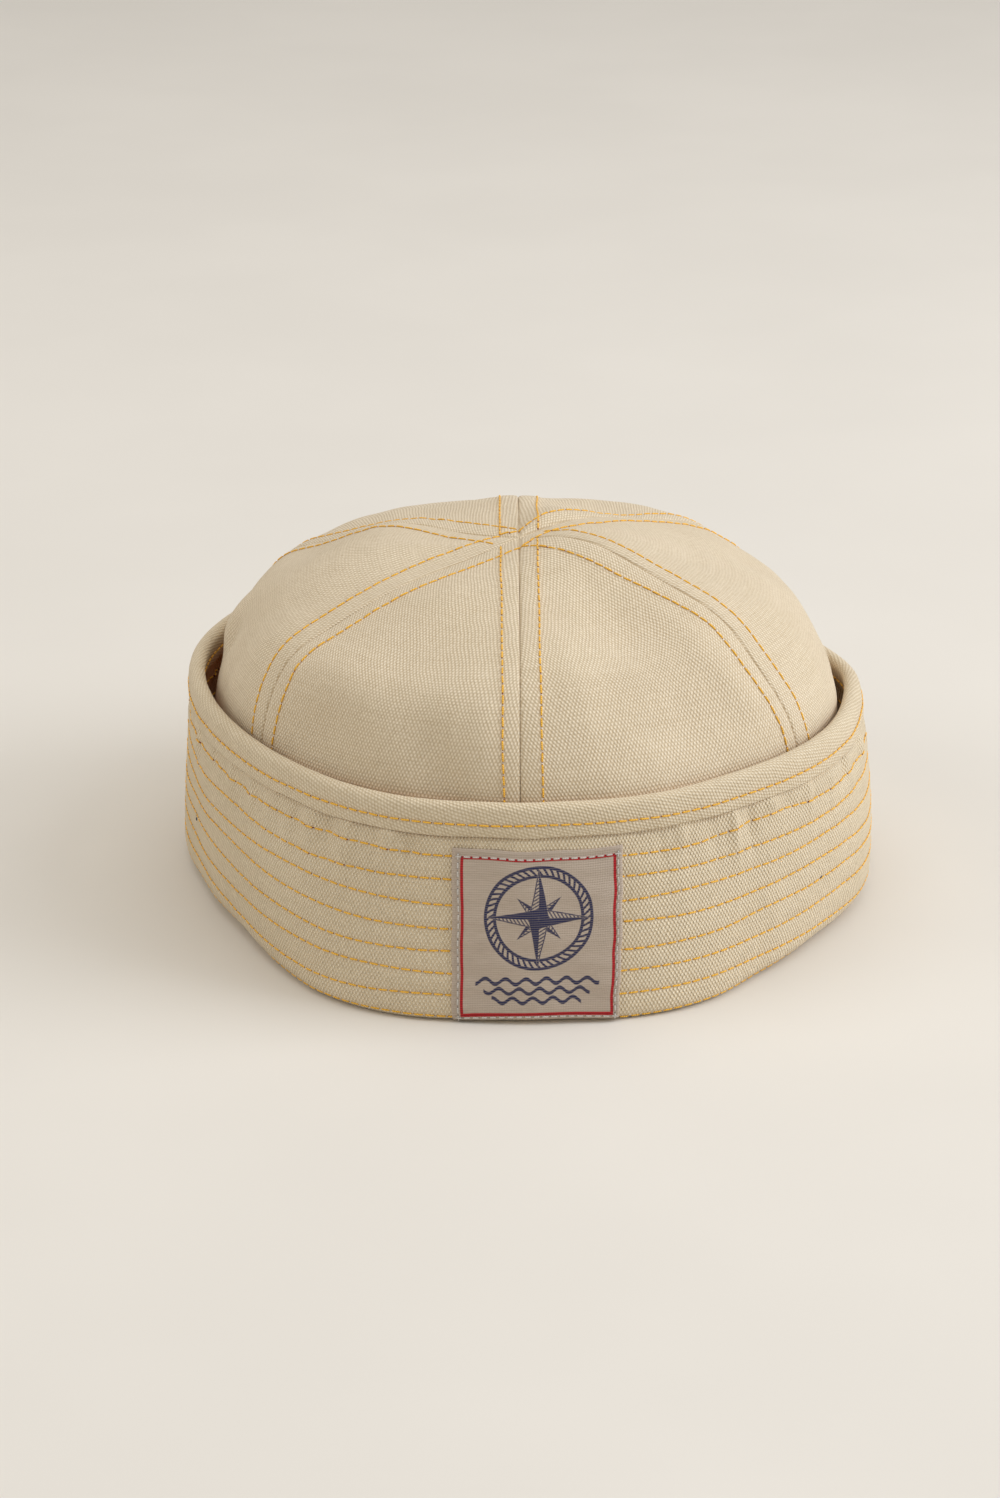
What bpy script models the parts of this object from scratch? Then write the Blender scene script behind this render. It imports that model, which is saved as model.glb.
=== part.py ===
"""Canvas sailor cap: a six-panel crown inside a turned-up brim, with a bound rim and a front label.

Metres, +Z up. The cap stands on the fold of its brim. Its front faces -Y, and +X is on the right of
someone who looks at the front, which is what left and right mean in every name here. An azimuth is
an angle round the cap in degrees: 0 at the front, 90 at the right. The origin is on the floor under
the middle of the outline, and the crown's axis stands a little beside it.
"""

import math
from collections import namedtuple

import bmesh
import bpy
from mathutils import Vector

MM = 0.001

# ---- Driving dimensions ----------------------------------------------------------------------------

AXIS_X = -1.94 * MM           # the crown's axis, from the middle of the outline
AXIS_Y = 1.17 * MM

CROWN_CLOTH = 1.2 * MM        # one ply of canvas with its seam allowance
BRIM_CLOTH = 2.0 * MM         # two plies, quilted together
BINDING_CLOTH = 1.0 * MM
LABEL_CLOTH = 1.0 * MM
GAP = 0.35 * MM               # between any two pieces
SEAM_GAP = 0.55 * MM          # between two crown panels on their outer faces

BRIM_EDGE = 2.6 * MM          # the brim's raw edge lies this far below the rim, inside the binding
FOOT_WIDTH = 1.8 * MM         # flat ring that the cap stands on
LIP_RADIUS = 2.6 * MM         # inner corner of the fold
LIP_TOP = 4.6 * MM            # where the brim meets the foot of the crown

BINDING_DEPTH = 10.2 * MM     # cloth that the binding covers on each face of the rim

LABEL_WIDTH = 44.8 * MM
LABEL_HEIGHT = 46.2 * MM
LABEL_DROP = 12.9 * MM        # from the rim to the label's top edge
LABEL_AZIMUTH = 3.0
LABEL_TILT = 0.4 * MM         # rise of its right edge over its left

APEX_HEIGHT = 100.1 * MM
TIP_RADIUS = 1.6 * MM         # the panels' points stop this short of the axis
TOP_RING = 22.0 * MM          # radii at which CROWN gives the crown's height
MIDDLE_RING = 43.0 * MM
OUTER_RING = 64.0 * MM
SHOULDER_HEIGHT = 80.3 * MM   # heights at which CROWN gives the crown's radius
RIM_LEVEL_HEIGHT = 61.8 * MM
WAIST_HEIGHT = 33.0 * MM      # halfway down, behind the brim
WAIST_BULGE = 0.8 * MM

# ---- Sections, in millimetres, every 30 degrees ----------------------------------------------------

STATION = 30

# The brim's outer face: its radius at the fold and at the rim, the depth of cloth turned up between
# them, how far the wall swells there, and how softly the fold turns under.
BrimSection = namedtuple("BrimSection", "azimuth fold rim depth belly roll")
BRIM = [
    BrimSection(-180, 100.1, 94.3, 60.0, 0.6, 4.4),
    BrimSection(-150, 100.4, 94.9, 60.7, 0.8, 4.6),
    BrimSection(-120, 99.6, 93.6, 62.0, 1.2, 5.3),
    BrimSection(-90, 96.4, 91.5, 63.2, 1.4, 5.9),
    BrimSection(-60, 92.0, 89.0, 61.2, 1.9, 6.9),
    BrimSection(-30, 99.4, 89.4, 60.4, 1.4, 3.2),
    BrimSection(0, 101.0, 90.1, 60.5, 1.0, 2.5),
    BrimSection(30, 100.5, 90.3, 60.5, 1.7, 2.9),
    BrimSection(60, 97.8, 93.9, 60.1, 2.9, 7.4),
    BrimSection(90, 100.0, 92.8, 58.8, 3.0, 6.8),
    BrimSection(120, 100.0, 89.6, 58.9, 1.6, 5.6),
    BrimSection(150, 99.8, 92.1, 59.4, 0.8, 4.7),
]

# The crown's outer face: height over three rings of the dome, then radius at two heights.
CrownSection = namedtuple("CrownSection", "azimuth top middle outer shoulder rim_level")
CROWN = [
    CrownSection(-180, 99.1, 96.5, 89.5, 81.6, 87.3),
    CrownSection(-150, 98.3, 97.3, 89.9, 83.3, 88.2),
    CrownSection(-120, 97.8, 97.3, 86.9, 79.3, 86.6),
    CrownSection(-90, 97.6, 95.5, 85.2, 76.0, 84.1),
    CrownSection(-60, 98.0, 93.8, 84.7, 74.6, 84.0),
    CrownSection(-30, 99.3, 94.2, 86.7, 74.9, 84.8),
    CrownSection(0, 100.9, 95.7, 89.3, 75.7, 85.2),
    CrownSection(30, 102.4, 97.0, 91.0, 76.2, 85.4),
    CrownSection(60, 103.1, 97.7, 91.4, 76.4, 87.6),
    CrownSection(90, 102.6, 97.3, 90.4, 78.4, 86.7),
    CrownSection(120, 101.5, 96.4, 90.0, 77.4, 81.7),
    CrownSection(150, 100.2, 95.6, 91.4, 78.8, 84.3),
]

# Levels down the crown's profile: apex 0, the three rings 1 to 3, shoulder 4, rim level 5, waist 6.
FOOT_LEVEL = 7

# Soft folds and dents of the crown. The spreads and the lift, outward if positive, are millimetres.
Fold = namedtuple("Fold", "name azimuth level across down lift")
FOLDS = [
    Fold("left roll", -98, 4.65, 9.0, 12.0, 2.4),
    Fold("left tuck under the roll", -101, 5.3, 8.0, 7.0, -2.6),
    Fold("front-left bulge beside the seam", -40, 3.2, 12.0, 15.0, 1.3),
    Fold("front-left hollow above the rim", -43, 4.7, 13.0, 11.0, -2.0),
    Fold("front-left swell", -17, 4.0, 10.0, 16.0, 1.1),
    Fold("front-right ridge beside the seam", 13, 3.7, 6.0, 22.0, 1.0),
    Fold("front-right hollow", 27, 2.5, 11.0, 14.0, -1.2),
    Fold("back-left dimple", -140, 2.2, 16.0, 14.0, -1.5),
    Fold("back-right hollow", 152, 3.6, 16.0, 12.0, -1.8),
    Fold("right shoulder dent", 104, 3.35, 9.0, 9.0, -1.6),
]

FOLD_REACH = 30.0 * MM        # a fold fades out through the cap, so that it leaves the far side alone

# Crown seams, by azimuth, and the panel that lies between each seam and the next.
Seam = namedtuple("Seam", "azimuth next_panel")
SEAMS = [
    Seam(-180, "back_left"),
    Seam(-122, "left"),
    Seam(-56, "front_left"),
    Seam(0, "front_right"),
    Seam(57, "right"),
    Seam(128, "back_right"),
    Seam(180, None),
]

# ---- Mesh density ----------------------------------------------------------------------------------

AROUND_STEPS = 60
WALL_STEPS = 5                # below the binding
ROLL_STEPS = 4
LIP_STEPS = 2
RIM_STEPS = 4
PANEL_COLUMNS = 8
CROWN_ROWS = [0.0, 0.5, 1.0, 1.5, 2.0, 2.5, 3.0, 3.45, 3.9, 4.35, 4.75, 5.15, 5.6, 6.3, 7.0]
LABEL_COLUMNS = 8
LABEL_ROWS = 5

# ---- Colours, linear -------------------------------------------------------------------------------

CANVAS = (0.70, 0.58, 0.42)
CANVAS_BRIM = (0.68, 0.56, 0.41)
CANVAS_BIAS = (0.72, 0.60, 0.44)
SATIN_TAUPE = (0.38, 0.32, 0.27)


# ---- Reading the tables ----------------------------------------------------------------------------

def cubic(before, start, end, after, share):
    """Catmull-Rom curve from start to end; works on numbers and on vectors."""
    return 0.5 * (
        2 * start
        + (end - before) * share
        + (2 * before - 5 * start + 4 * end - after) * share ** 2
        + (3 * start - before - 3 * end + after) * share ** 3
    )


def around(sections, column, azimuth):
    """One column of a table of equally spaced sections, at any azimuth, in metres."""
    place = (azimuth - sections[0].azimuth) / STATION
    first = math.floor(place)
    rows = [sections[(first + step) % len(sections)] for step in (-1, 0, 1, 2)]
    return cubic(*(getattr(row, column) for row in rows), place - first) * MM


def on_cap(azimuth, radius, height):
    """A point of the cap, from its polar place round the crown's axis."""
    turn = math.radians(azimuth)
    return Vector((AXIS_X + radius * math.sin(turn), AXIS_Y - radius * math.cos(turn), height))


# ---- Brim, binding and label -----------------------------------------------------------------------

class Wall:
    """The brim's standing wall at one azimuth, seen in section as radius and height."""

    def __init__(self, azimuth):
        fold = around(BRIM, "fold", azimuth)
        rim = around(BRIM, "rim", azimuth)
        self.belly = around(BRIM, "belly", azimuth)
        self.depth = around(BRIM, "depth", azimuth)
        lean = (fold - rim) / self.depth
        rise = math.sqrt(1 - lean ** 2)
        self.rim = Vector((rim, self.depth * rise))
        self.down = Vector((lean, -rise))
        self.out = Vector((rise, lean)) * outline_slant(azimuth)

        # The belly tucks in towards the fold, and the fold's arc takes over from that slope.
        low_lean = lean - 4 * self.belly / self.depth
        low_rise = math.sqrt(1 - low_lean ** 2)
        self.roll = around(BRIM, "roll", azimuth)
        self.roll_centre = Vector((fold - self.roll * (1 + low_lean) / low_rise, self.roll))
        self.roll_turn = math.atan2(low_lean, low_rise)
        roll_start = self.roll_centre + self.roll * Vector((low_rise, low_lean))
        self.roll_drop = self.depth - (roll_start - Vector((fold, 0.0))).length

    def at(self, drop, lift=0.0):
        """A point a given way down the cloth from the rim, lifted off the wall's outer face."""
        share = drop / self.depth
        swell = 4 * self.belly * share * (1 - share)
        return self.rim + self.down * drop + self.out * (lift + swell)

    def foot_inner(self):
        return self.roll_centre.x - FOOT_WIDTH


def outline_slant(azimuth):
    """How much longer a step along the radius is than the same step square to the rim."""
    step = 3.0
    change = around(BRIM, "rim", azimuth + step) - around(BRIM, "rim", azimuth - step)
    sideways = 2 * math.radians(step) * around(BRIM, "rim", azimuth)
    return math.hypot(1.0, change / sideways)


def arc(centre, radius, start, end, steps):
    """Points of an arc in section, its two ends included."""
    turns = [start + (end - start) * step / steps for step in range(steps + 1)]
    return [centre + radius * Vector((math.cos(turn), math.sin(turn))) for turn in turns]


def brim_section(azimuth):
    """Outer face of the brim: down the wall, round the fold, along the foot and up the lip."""
    wall = Wall(azimuth)
    standing = [wall.at(BRIM_EDGE)]
    for step in range(WALL_STEPS):
        share = step / WALL_STEPS
        standing.append(wall.at(BINDING_DEPTH + (wall.roll_drop - BINDING_DEPTH) * share))
    roll = arc(wall.roll_centre, wall.roll, wall.roll_turn, -math.pi / 2, ROLL_STEPS)
    lip_centre = Vector((wall.foot_inner(), LIP_RADIUS))
    lip = arc(lip_centre, LIP_RADIUS, -math.pi / 2, -math.pi, LIP_STEPS)
    lip.append(Vector((lip_centre.x - LIP_RADIUS, LIP_TOP)))
    return standing + roll + lip


def binding_section(azimuth):
    """Outer face of the binding: up the outer leg, over the rim and down the inner leg."""
    wall = Wall(azimuth)
    stand_off = GAP + BINDING_CLOTH
    half = BRIM_CLOTH / 2 + stand_off
    centre = wall.at(half, -BRIM_CLOTH / 2)
    outward = math.atan2(wall.out.y, wall.out.x)
    over = arc(centre, half, outward, outward + math.pi, RIM_STEPS)
    outer_end = wall.at(BINDING_DEPTH, stand_off)
    inner_end = wall.at(BINDING_DEPTH, stand_off - 2 * half)
    return [outer_end] + over + [inner_end]


def label_column(share):
    """Outer face of the label, top edge first; share runs from -1 at its left edge to 1."""
    points = []
    for row in range(LABEL_ROWS + 1):
        drop = LABEL_DROP + LABEL_HEIGHT * row / LABEL_ROWS - share * LABEL_TILT / 2
        radius = Wall(LABEL_AZIMUTH).at(drop).x
        azimuth = LABEL_AZIMUTH + math.degrees(share * LABEL_WIDTH / 2 / radius)
        point = Wall(azimuth).at(drop, GAP + LABEL_CLOTH)
        points.append(on_cap(azimuth, point.x, point.y))
    return points


# ---- Crown -----------------------------------------------------------------------------------------

def crown_profile(azimuth):
    """Radius and height at the levels of the crown's profile, from just past the apex to the foot."""
    ring_top = around(CROWN, "top", azimuth)
    opposite_top = around(CROWN, "top", azimuth + 180)
    rim_level = around(CROWN, "rim_level", azimuth)
    foot = Wall(azimuth).foot_inner() - LIP_RADIUS + (BRIM_CLOTH + CROWN_CLOTH) / 2
    waist = (rim_level + foot) / 2 + WAIST_BULGE
    foot_height = LIP_TOP + 1.5 * GAP
    return [
        Vector((-TOP_RING, opposite_top)),
        Vector((0.0, APEX_HEIGHT)),
        Vector((TOP_RING, ring_top)),
        Vector((MIDDLE_RING, around(CROWN, "middle", azimuth))),
        Vector((OUTER_RING, around(CROWN, "outer", azimuth))),
        Vector((around(CROWN, "shoulder", azimuth), SHOULDER_HEIGHT)),
        Vector((rim_level, RIM_LEVEL_HEIGHT)),
        Vector((waist, WAIST_HEIGHT)),
        Vector((foot, foot_height)),
        Vector((waist, 2 * foot_height - WAIST_HEIGHT)),
    ]


def smooth_crown(azimuth, level):
    """A point of the crown before its folds."""
    profile = crown_profile(azimuth)
    first = min(int(level), FOOT_LEVEL - 1)
    radius, height = cubic(*profile[first:first + 4], level - first)
    return on_cap(azimuth, radius, height)


def crown_directions(azimuth, level):
    """Unit vectors on the crown: round it, down its profile, and out of it."""
    down_step = 0.02
    turn = math.radians(azimuth)
    around_it = Vector((math.cos(turn), math.sin(turn), 0.0))
    upper = max(level - down_step, 0.0)
    lower = min(level + down_step, FOOT_LEVEL)
    down = (smooth_crown(azimuth, lower) - smooth_crown(azimuth, upper)).normalized()
    return around_it, down, down.cross(around_it).normalized()


def fold_frames():
    """Centre, directions and sizes of each fold, worked out once."""
    frames = []
    for fold in FOLDS:
        centre = smooth_crown(fold.azimuth, fold.level)
        frames.append((fold, centre, *crown_directions(fold.azimuth, fold.level)))
    return frames


def folded_crown(azimuth, level, frames):
    """A point of the crown's outer face, with its folds and dents."""
    point = smooth_crown(azimuth, level)
    lift = Vector((0.0, 0.0, 0.0))
    for fold, centre, around_it, down, out in frames:
        away = point - centre
        across_share = away.dot(around_it) / (fold.across * MM)
        down_share = away.dot(down) / (fold.down * MM)
        through_share = away.dot(out) / FOLD_REACH
        strength = math.exp(-across_share ** 2 - down_share ** 2 - through_share ** 2)
        lift += out * fold.lift * MM * strength
    return point + lift


def panel_column(seam, next_seam, share, frames):
    """One column of a panel, from its point to its foot; the panel keeps off both its seams."""
    column = []
    for row in CROWN_ROWS:
        level = max(row, TIP_RADIUS / TOP_RING)
        middle = smooth_crown(seam, level) - Vector((AXIS_X, AXIS_Y, 0.0))
        inset = math.degrees(SEAM_GAP / 2 / max(middle.to_2d().length, TIP_RADIUS))
        azimuth = seam + inset + (next_seam - seam - 2 * inset) * share
        column.append(folded_crown(azimuth, level, frames))
    return column


# ---- Making the pieces -----------------------------------------------------------------------------

def loft(name, columns, closed, thickness, material, collection):
    """Skin from column to column, given its cloth's thickness on the inner side."""
    mesh_maker = bmesh.new()
    grid = [[mesh_maker.verts.new(point) for point in column] for column in columns]
    if closed:
        grid.append(grid[0])
    for here, following in zip(grid, grid[1:]):
        for row in range(len(here) - 1):
            mesh_maker.faces.new((here[row], here[row + 1], following[row + 1], following[row]))
    mesh = bpy.data.meshes.new(name)
    mesh_maker.to_mesh(mesh)
    mesh_maker.free()
    mesh.shade_smooth()
    mesh.materials.append(material)
    piece = bpy.data.objects.new(name, mesh)
    collection.objects.link(piece)
    cloth = piece.modifiers.new("cloth", "SOLIDIFY")
    cloth.thickness = thickness
    cloth.offset = -1.0
    cloth.use_even_offset = True
    return piece


def in_section(azimuth, section):
    """Places a section's points of radius and height on the cap."""
    return [on_cap(azimuth, point.x, point.y) for point in section]


def ring_azimuths():
    return [-180 + 360 * step / AROUND_STEPS for step in range(AROUND_STEPS)]


def make_brim(material, collection):
    columns = [in_section(azimuth, brim_section(azimuth)) for azimuth in ring_azimuths()]
    return loft("brim", columns, True, BRIM_CLOTH, material, collection)


def make_binding(material, collection):
    columns = [in_section(azimuth, binding_section(azimuth)[::-1]) for azimuth in ring_azimuths()]
    return loft("brim_binding", columns, True, BINDING_CLOTH, material, collection)


def make_label(material, collection):
    columns = []
    for step in range(LABEL_COLUMNS + 1):
        columns.append(label_column(2 * step / LABEL_COLUMNS - 1))
    return loft("front_label", columns, False, LABEL_CLOTH, material, collection)


def make_crown(material, collection):
    frames = fold_frames()
    for seam, following in zip(SEAMS, SEAMS[1:]):
        columns = []
        for step in range(PANEL_COLUMNS + 1):
            share = step / PANEL_COLUMNS
            columns.append(panel_column(seam.azimuth, following.azimuth, share, frames))
        name = "crown_panel_" + seam.next_panel
        loft(name, columns, False, CROWN_CLOTH, material, collection)


def make_material(name, colour, roughness):
    material = bpy.data.materials.new(name)
    material.use_nodes = True
    shader = material.node_tree.nodes["Principled BSDF"]
    shader.inputs["Base Color"].default_value = (*colour, 1.0)
    shader.inputs["Roughness"].default_value = roughness
    shader.inputs["Metallic"].default_value = 0.0
    material.diffuse_color = (*colour, 1.0)
    return material


def clear_scene():
    for item in list(bpy.data.objects):
        bpy.data.objects.remove(item, do_unlink=True)


def main():
    clear_scene()
    collection = bpy.data.collections.new("sailor_cap")
    bpy.context.scene.collection.children.link(collection)
    make_crown(make_material("canvas_crown", CANVAS, 0.9), collection)
    make_brim(make_material("canvas_brim", CANVAS_BRIM, 0.9), collection)
    make_binding(make_material("canvas_binding", CANVAS_BIAS, 0.9), collection)
    make_label(make_material("label_satin", SATIN_TAUPE, 0.6), collection)


main()
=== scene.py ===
# %% [markdown]
# # A canvas sailor cap
# The cap is made of thick natural cotton duck: a crown of six panels, a wide brim turned up round it
# and quilted with rows of orange stitches, a bias tape over the brim's raw edge, and a woven label.
# This notebook gives each sewn piece its own mesh. It starts from the plain solids of the CAD model,
# which fix the size of everything, and works in the same frame: metres, +Z up, the front facing -Y.

# %% Load the frame
import math
from types import SimpleNamespace

import bpy
import numpy as np
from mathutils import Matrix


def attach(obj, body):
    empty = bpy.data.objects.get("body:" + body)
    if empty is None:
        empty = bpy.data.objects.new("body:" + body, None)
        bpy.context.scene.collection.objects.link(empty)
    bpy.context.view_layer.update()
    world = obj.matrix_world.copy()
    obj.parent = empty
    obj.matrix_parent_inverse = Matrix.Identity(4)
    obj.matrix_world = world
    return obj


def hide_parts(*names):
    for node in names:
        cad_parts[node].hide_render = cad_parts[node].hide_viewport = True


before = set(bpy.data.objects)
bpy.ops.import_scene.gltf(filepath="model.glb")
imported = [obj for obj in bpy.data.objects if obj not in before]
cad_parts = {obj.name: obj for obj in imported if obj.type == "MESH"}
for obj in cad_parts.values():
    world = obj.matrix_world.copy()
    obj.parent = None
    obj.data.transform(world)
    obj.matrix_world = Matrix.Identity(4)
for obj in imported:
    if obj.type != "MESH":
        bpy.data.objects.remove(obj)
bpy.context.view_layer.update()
MM = 0.001
print("pieces in the frame:", sorted(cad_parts))

# %% [markdown]
# ## Camera
# The cap was photographed from in front and a little above with a long lens, so its far side is
# hardly smaller than its near side. A long focal length and a distance of about a metre do the same.
# The camera is turned about X only, because the horizon of such a picture is level.

# %% Camera
CAMERA_PLACE = (-7.25 * MM, -943.40 * MM, 446.68 * MM)
CAMERA_DOWN = 23.5          # degrees below level
CAMERA_LENS = 86.585        # for a sensor 36 mm high


def put_in_scene(name, data):
    """A new object in the scene."""
    thing = bpy.data.objects.new(name, data)
    bpy.context.scene.collection.objects.link(thing)
    return thing


camera_data = bpy.data.cameras.new("camera")
camera_data.sensor_fit = "VERTICAL"
camera_data.sensor_height = 36.0
camera_data.lens = CAMERA_LENS
camera = put_in_scene("camera", camera_data)
camera.location = CAMERA_PLACE
camera.rotation_euler = (math.radians(90 - CAMERA_DOWN), 0.0, 0.0)
bpy.context.scene.camera = camera
bpy.context.scene.view_settings.view_transform = "Standard"
print("camera: %.1f degrees down, %.1f mm lens" % (CAMERA_DOWN, CAMERA_LENS))

# %% [markdown]
# ## Shader sums
# A weave is arithmetic on a place in the cloth. Written as nodes, each sum would take several lines,
# so one small class wraps a socket and lets numbers be added and multiplied as in ordinary Python.
# A second class makes and links any node of a tree, and a third one is a material with such a tree.

# %% Shader helpers
class Number:
    """A number in a node tree, which takes part in sums like a Python number."""

    def __init__(self, wiring, socket):
        self.wiring, self.socket = wiring, socket

    def sum_with(self, operation, *others, clamp=False):
        node = self.wiring.node("ShaderNodeMath", {"operation": operation, "use_clamp": clamp})
        for slot, value in zip(node.inputs, (self, *others)):
            self.wiring.feed(slot, value)
        return Number(self.wiring, node.outputs[0])

    def __add__(self, other):
        return self.sum_with("ADD", other)

    def __sub__(self, other):
        return self.sum_with("SUBTRACT", other)

    def __mul__(self, other):
        return self.sum_with("MULTIPLY", other)

    def __truediv__(self, other):
        return self.sum_with("DIVIDE", other)

    def __rsub__(self, other):
        return self.sum_with("MULTIPLY", -1.0).sum_with("ADD", other)

    def __rtruediv__(self, other):
        return self.sum_with("POWER", -1.0).sum_with("MULTIPLY", other)

    __radd__ = __add__
    __rmul__ = __mul__

    def cosine(self, period):
        """A wave from -1 to 1 that repeats every period."""
        return (self * (2 * math.pi / period)).sum_with("COSINE")

    def size(self):
        return self.sum_with("ABSOLUTE")

    def most(self, other):
        return self.sum_with("MAXIMUM", other)

    def held(self):
        """Kept between 0 and 1."""
        return self.sum_with("ADD", 0.0, clamp=True)

    def step(self, low, high):
        """0 below low, 1 above high, and smooth between them."""
        return Number(self.wiring, self.wiring.made(
            "ShaderNodeMapRange", {"interpolation_type": "SMOOTHSTEP"},
            {"Value": self, "From Min": low, "From Max": high}))


class Wiring:
    """Makes and links the nodes of one tree."""

    def __init__(self, tree):
        self.tree = tree

    def feed(self, slot, value):
        """Links a socket or a Number to an input, or sets the input to a plain value."""
        if isinstance(value, Number):
            value = value.socket
        if isinstance(value, bpy.types.NodeSocket):
            self.tree.links.new(value, slot)
        else:
            slot.default_value = value

    def node(self, kind, settings=None, values=None):
        """Any node: its type, its settings, then its inputs' values or links."""
        node = self.tree.nodes.new(kind)
        for name, value in (settings or {}).items():
            setattr(node, name, value)
        for name, value in (values or {}).items():
            slot = next(s for s in node.inputs if s.name == name and s.enabled)
            self.feed(slot, value)
        return node

    def made(self, kind, settings=None, values=None, output=None):
        """One output of a new node: the named one, or the first that is in use."""
        sockets = self.node(kind, settings, values).outputs
        return sockets[output] if output else next(s for s in sockets if s.enabled)


class Recipe(Wiring):
    """A material that is being put together."""

    def __init__(self, name):
        self.material = bpy.data.materials.new(name)
        self.material.use_nodes = True
        super().__init__(self.material.node_tree)
        self.shader = self.tree.nodes["Principled BSDF"]

    def mix(self, share, first, second, blend="MIX"):
        """Two colours mixed; share 0 is the first."""
        return self.made("ShaderNodeMix", {"data_type": "RGBA", "blend_type": blend},
                         {"Factor": share, "A": first, "B": second})

    def place(self):
        """Two Numbers: the place in the cloth in millimetres, across it and along it."""
        uv = self.made("ShaderNodeUVMap", {"uv_map": "cloth"})
        parts = self.node("ShaderNodeSeparateXYZ", None, {"Vector": uv})
        return Number(self, parts.outputs["X"]), Number(self, parts.outputs["Y"])

    def vector(self, x, y, z=0.0):
        return self.made("ShaderNodeCombineXYZ", None, {"X": x, "Y": y, "Z": z})

    def noise(self, where, scale, detail=2.0):
        """Cloudy noise from 0 to 1; scale is how many clouds there are to a unit."""
        values = {"Vector": where, "Scale": scale, "Detail": detail, "Roughness": 0.55}
        return Number(self, self.made("ShaderNodeTexNoise", None, values, "Fac"))

    def finish(self, colour, roughness, height=None, relief=1.0, sheen=0.0):
        """Feeds the shader; height is in millimetres and becomes a bump."""
        self.feed(self.shader.inputs["Base Color"], colour)
        self.feed(self.shader.inputs["Roughness"], roughness)
        for name, value in (
                ("Specular IOR Level", 0.25), ("Sheen Weight", sheen), ("Sheen Roughness", 0.5)):
            self.shader.inputs[name].default_value = value
        if height is not None:
            self.feed(self.shader.inputs["Normal"], self.made(
                "ShaderNodeBump", None, {"Strength": relief, "Distance": MM, "Height": height}))
        return self.material


def colour(red, green, blue):
    """A colour from its display values, 0 to 255, as the linear numbers that shaders use."""
    linear = [(c / 255 / 12.92) if c <= 10 else ((c / 255 + 0.055) / 1.055) ** 2.4
              for c in (red, green, blue)]
    return (*linear, 1.0)


print("a mid grey of 128 is", round(colour(128, 128, 128)[0], 3), "in linear light")

# %% [markdown]
# ## Canvas
# Cotton duck is a plain weave of thick rows and thinner threads across them: each row shows as a line
# of small rounded bumps, and the next row's bumps sit between them. Two cosine waves multiplied make
# that chequer of bumps. Real yarn is uneven, so slow noise bends the rows, some threads are thicker or
# darker than others, and the natural cotton has a cloudy tone. The same weave makes the bump and a
# painted shade that darkens the colour in its hollows. Cloth that faces the gap between crown and brim
# is marked by the attribute "inside", and takes a painted warm brown shade towards the bottom of the gap.

# %% Canvas material
THREAD_PERIOD = 1.0         # mm from one bump to the next in a row
ROW_PERIOD = 1.84           # mm from a row to the next but one
# The warm brown of painted shade in the gap between crown and brim, and the heights over which it fades
# out.
PAINTED_GAP_SHADE = (0.88, 0.52, 0.32, 1.0)
GAP_BOTTOM, GAP_TOP = 0.050, 0.0605      # m above the floor


def canvas(name, light, dark_yarn_and_hollow_shade, turn=0.0, relief=1.0):
    """Duck canvas; turn is the weave's angle in the cloth, in degrees."""
    recipe = Recipe(name)
    across, along = recipe.place()
    if turn:
        c, s = math.cos(math.radians(turn)), math.sin(math.radians(turn))
        across, along = across * c - along * s, across * s + along * c
    cloth = recipe.vector(across, along)

    # The rows and threads wander slowly, and no two yarns are equally thick.
    rows = along + recipe.noise(cloth, 0.09) * 1.1
    threads = across + recipe.noise(recipe.vector(across, along, 7.0), 0.11)
    thick_row = recipe.noise(recipe.vector(across * 0.03, along * 0.55, 3.0), 1.0, 1.0)
    thick_thread = recipe.noise(recipe.vector(across * 0.9, along * 0.03, 5.0), 1.0, 1.0)
    uneven = recipe.noise(recipe.vector(across, along, 9.0), 1.3, 1.0)

    chequer = threads.cosine(THREAD_PERIOD) * rows.cosine(ROW_PERIOD)
    rib = rows.cosine(ROW_PERIOD / 2)
    weave = chequer * 0.50 + rib * 0.12 + 0.5
    weave = weave + (thick_row - 0.5) * 0.16 + (thick_thread - 0.5) * 0.14 + (uneven - 0.5) * 0.5
    weave = weave.held()

    clouds = recipe.noise(recipe.vector(across, along, 1.0), 0.035, 3.0)
    # Low weave takes the darker colour: partly darker yarn, partly painted shade in the hollows of the
    # weave.
    tone = recipe.mix(weave, dark_yarn_and_hollow_shade, light)
    cloudy = recipe.mix(1.0, tone, (0.90, 0.88, 0.84, 1.0), "MULTIPLY")
    tone = recipe.mix(clouds.step(0.3, 0.7) * 0.35, tone, cloudy)
    # Down in the gap the colour turns a warm brown: painted shade, and painted light that has come through
    # the cloth.
    where = recipe.made("ShaderNodeTexCoord", output="Object")
    up = Number(recipe, recipe.made("ShaderNodeSeparateXYZ", None, {"Vector": where}, "Z"))
    inside = Number(recipe, recipe.made("ShaderNodeAttribute", {"attribute_name": "inside"}, None, "Fac"))
    deep = 1.0 - up.step(GAP_BOTTOM, GAP_TOP)
    tone = recipe.mix(inside * deep, tone, recipe.mix(1.0, tone, PAINTED_GAP_SHADE, "MULTIPLY"))
    return recipe.finish(tone, 0.96 - weave * 0.08, weave * 0.42, relief, sheen=0.12)


# Each canvas gets a colour for the high weave and a darker one for the low weave, which is partly painted
# shade.
crown_canvas = canvas("crown_canvas", colour(241, 226, 200), colour(198, 176, 141), relief=0.60)
brim_canvas = canvas("brim_canvas", colour(249, 234, 206), colour(207, 185, 148))
bias_canvas = canvas("bias_canvas", colour(236, 221, 194), colour(198, 177, 142), turn=45.0, relief=0.62)
print("bumps %.2f mm apart in rows %.2f mm apart" % (THREAD_PERIOD, ROW_PERIOD / 2))
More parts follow.
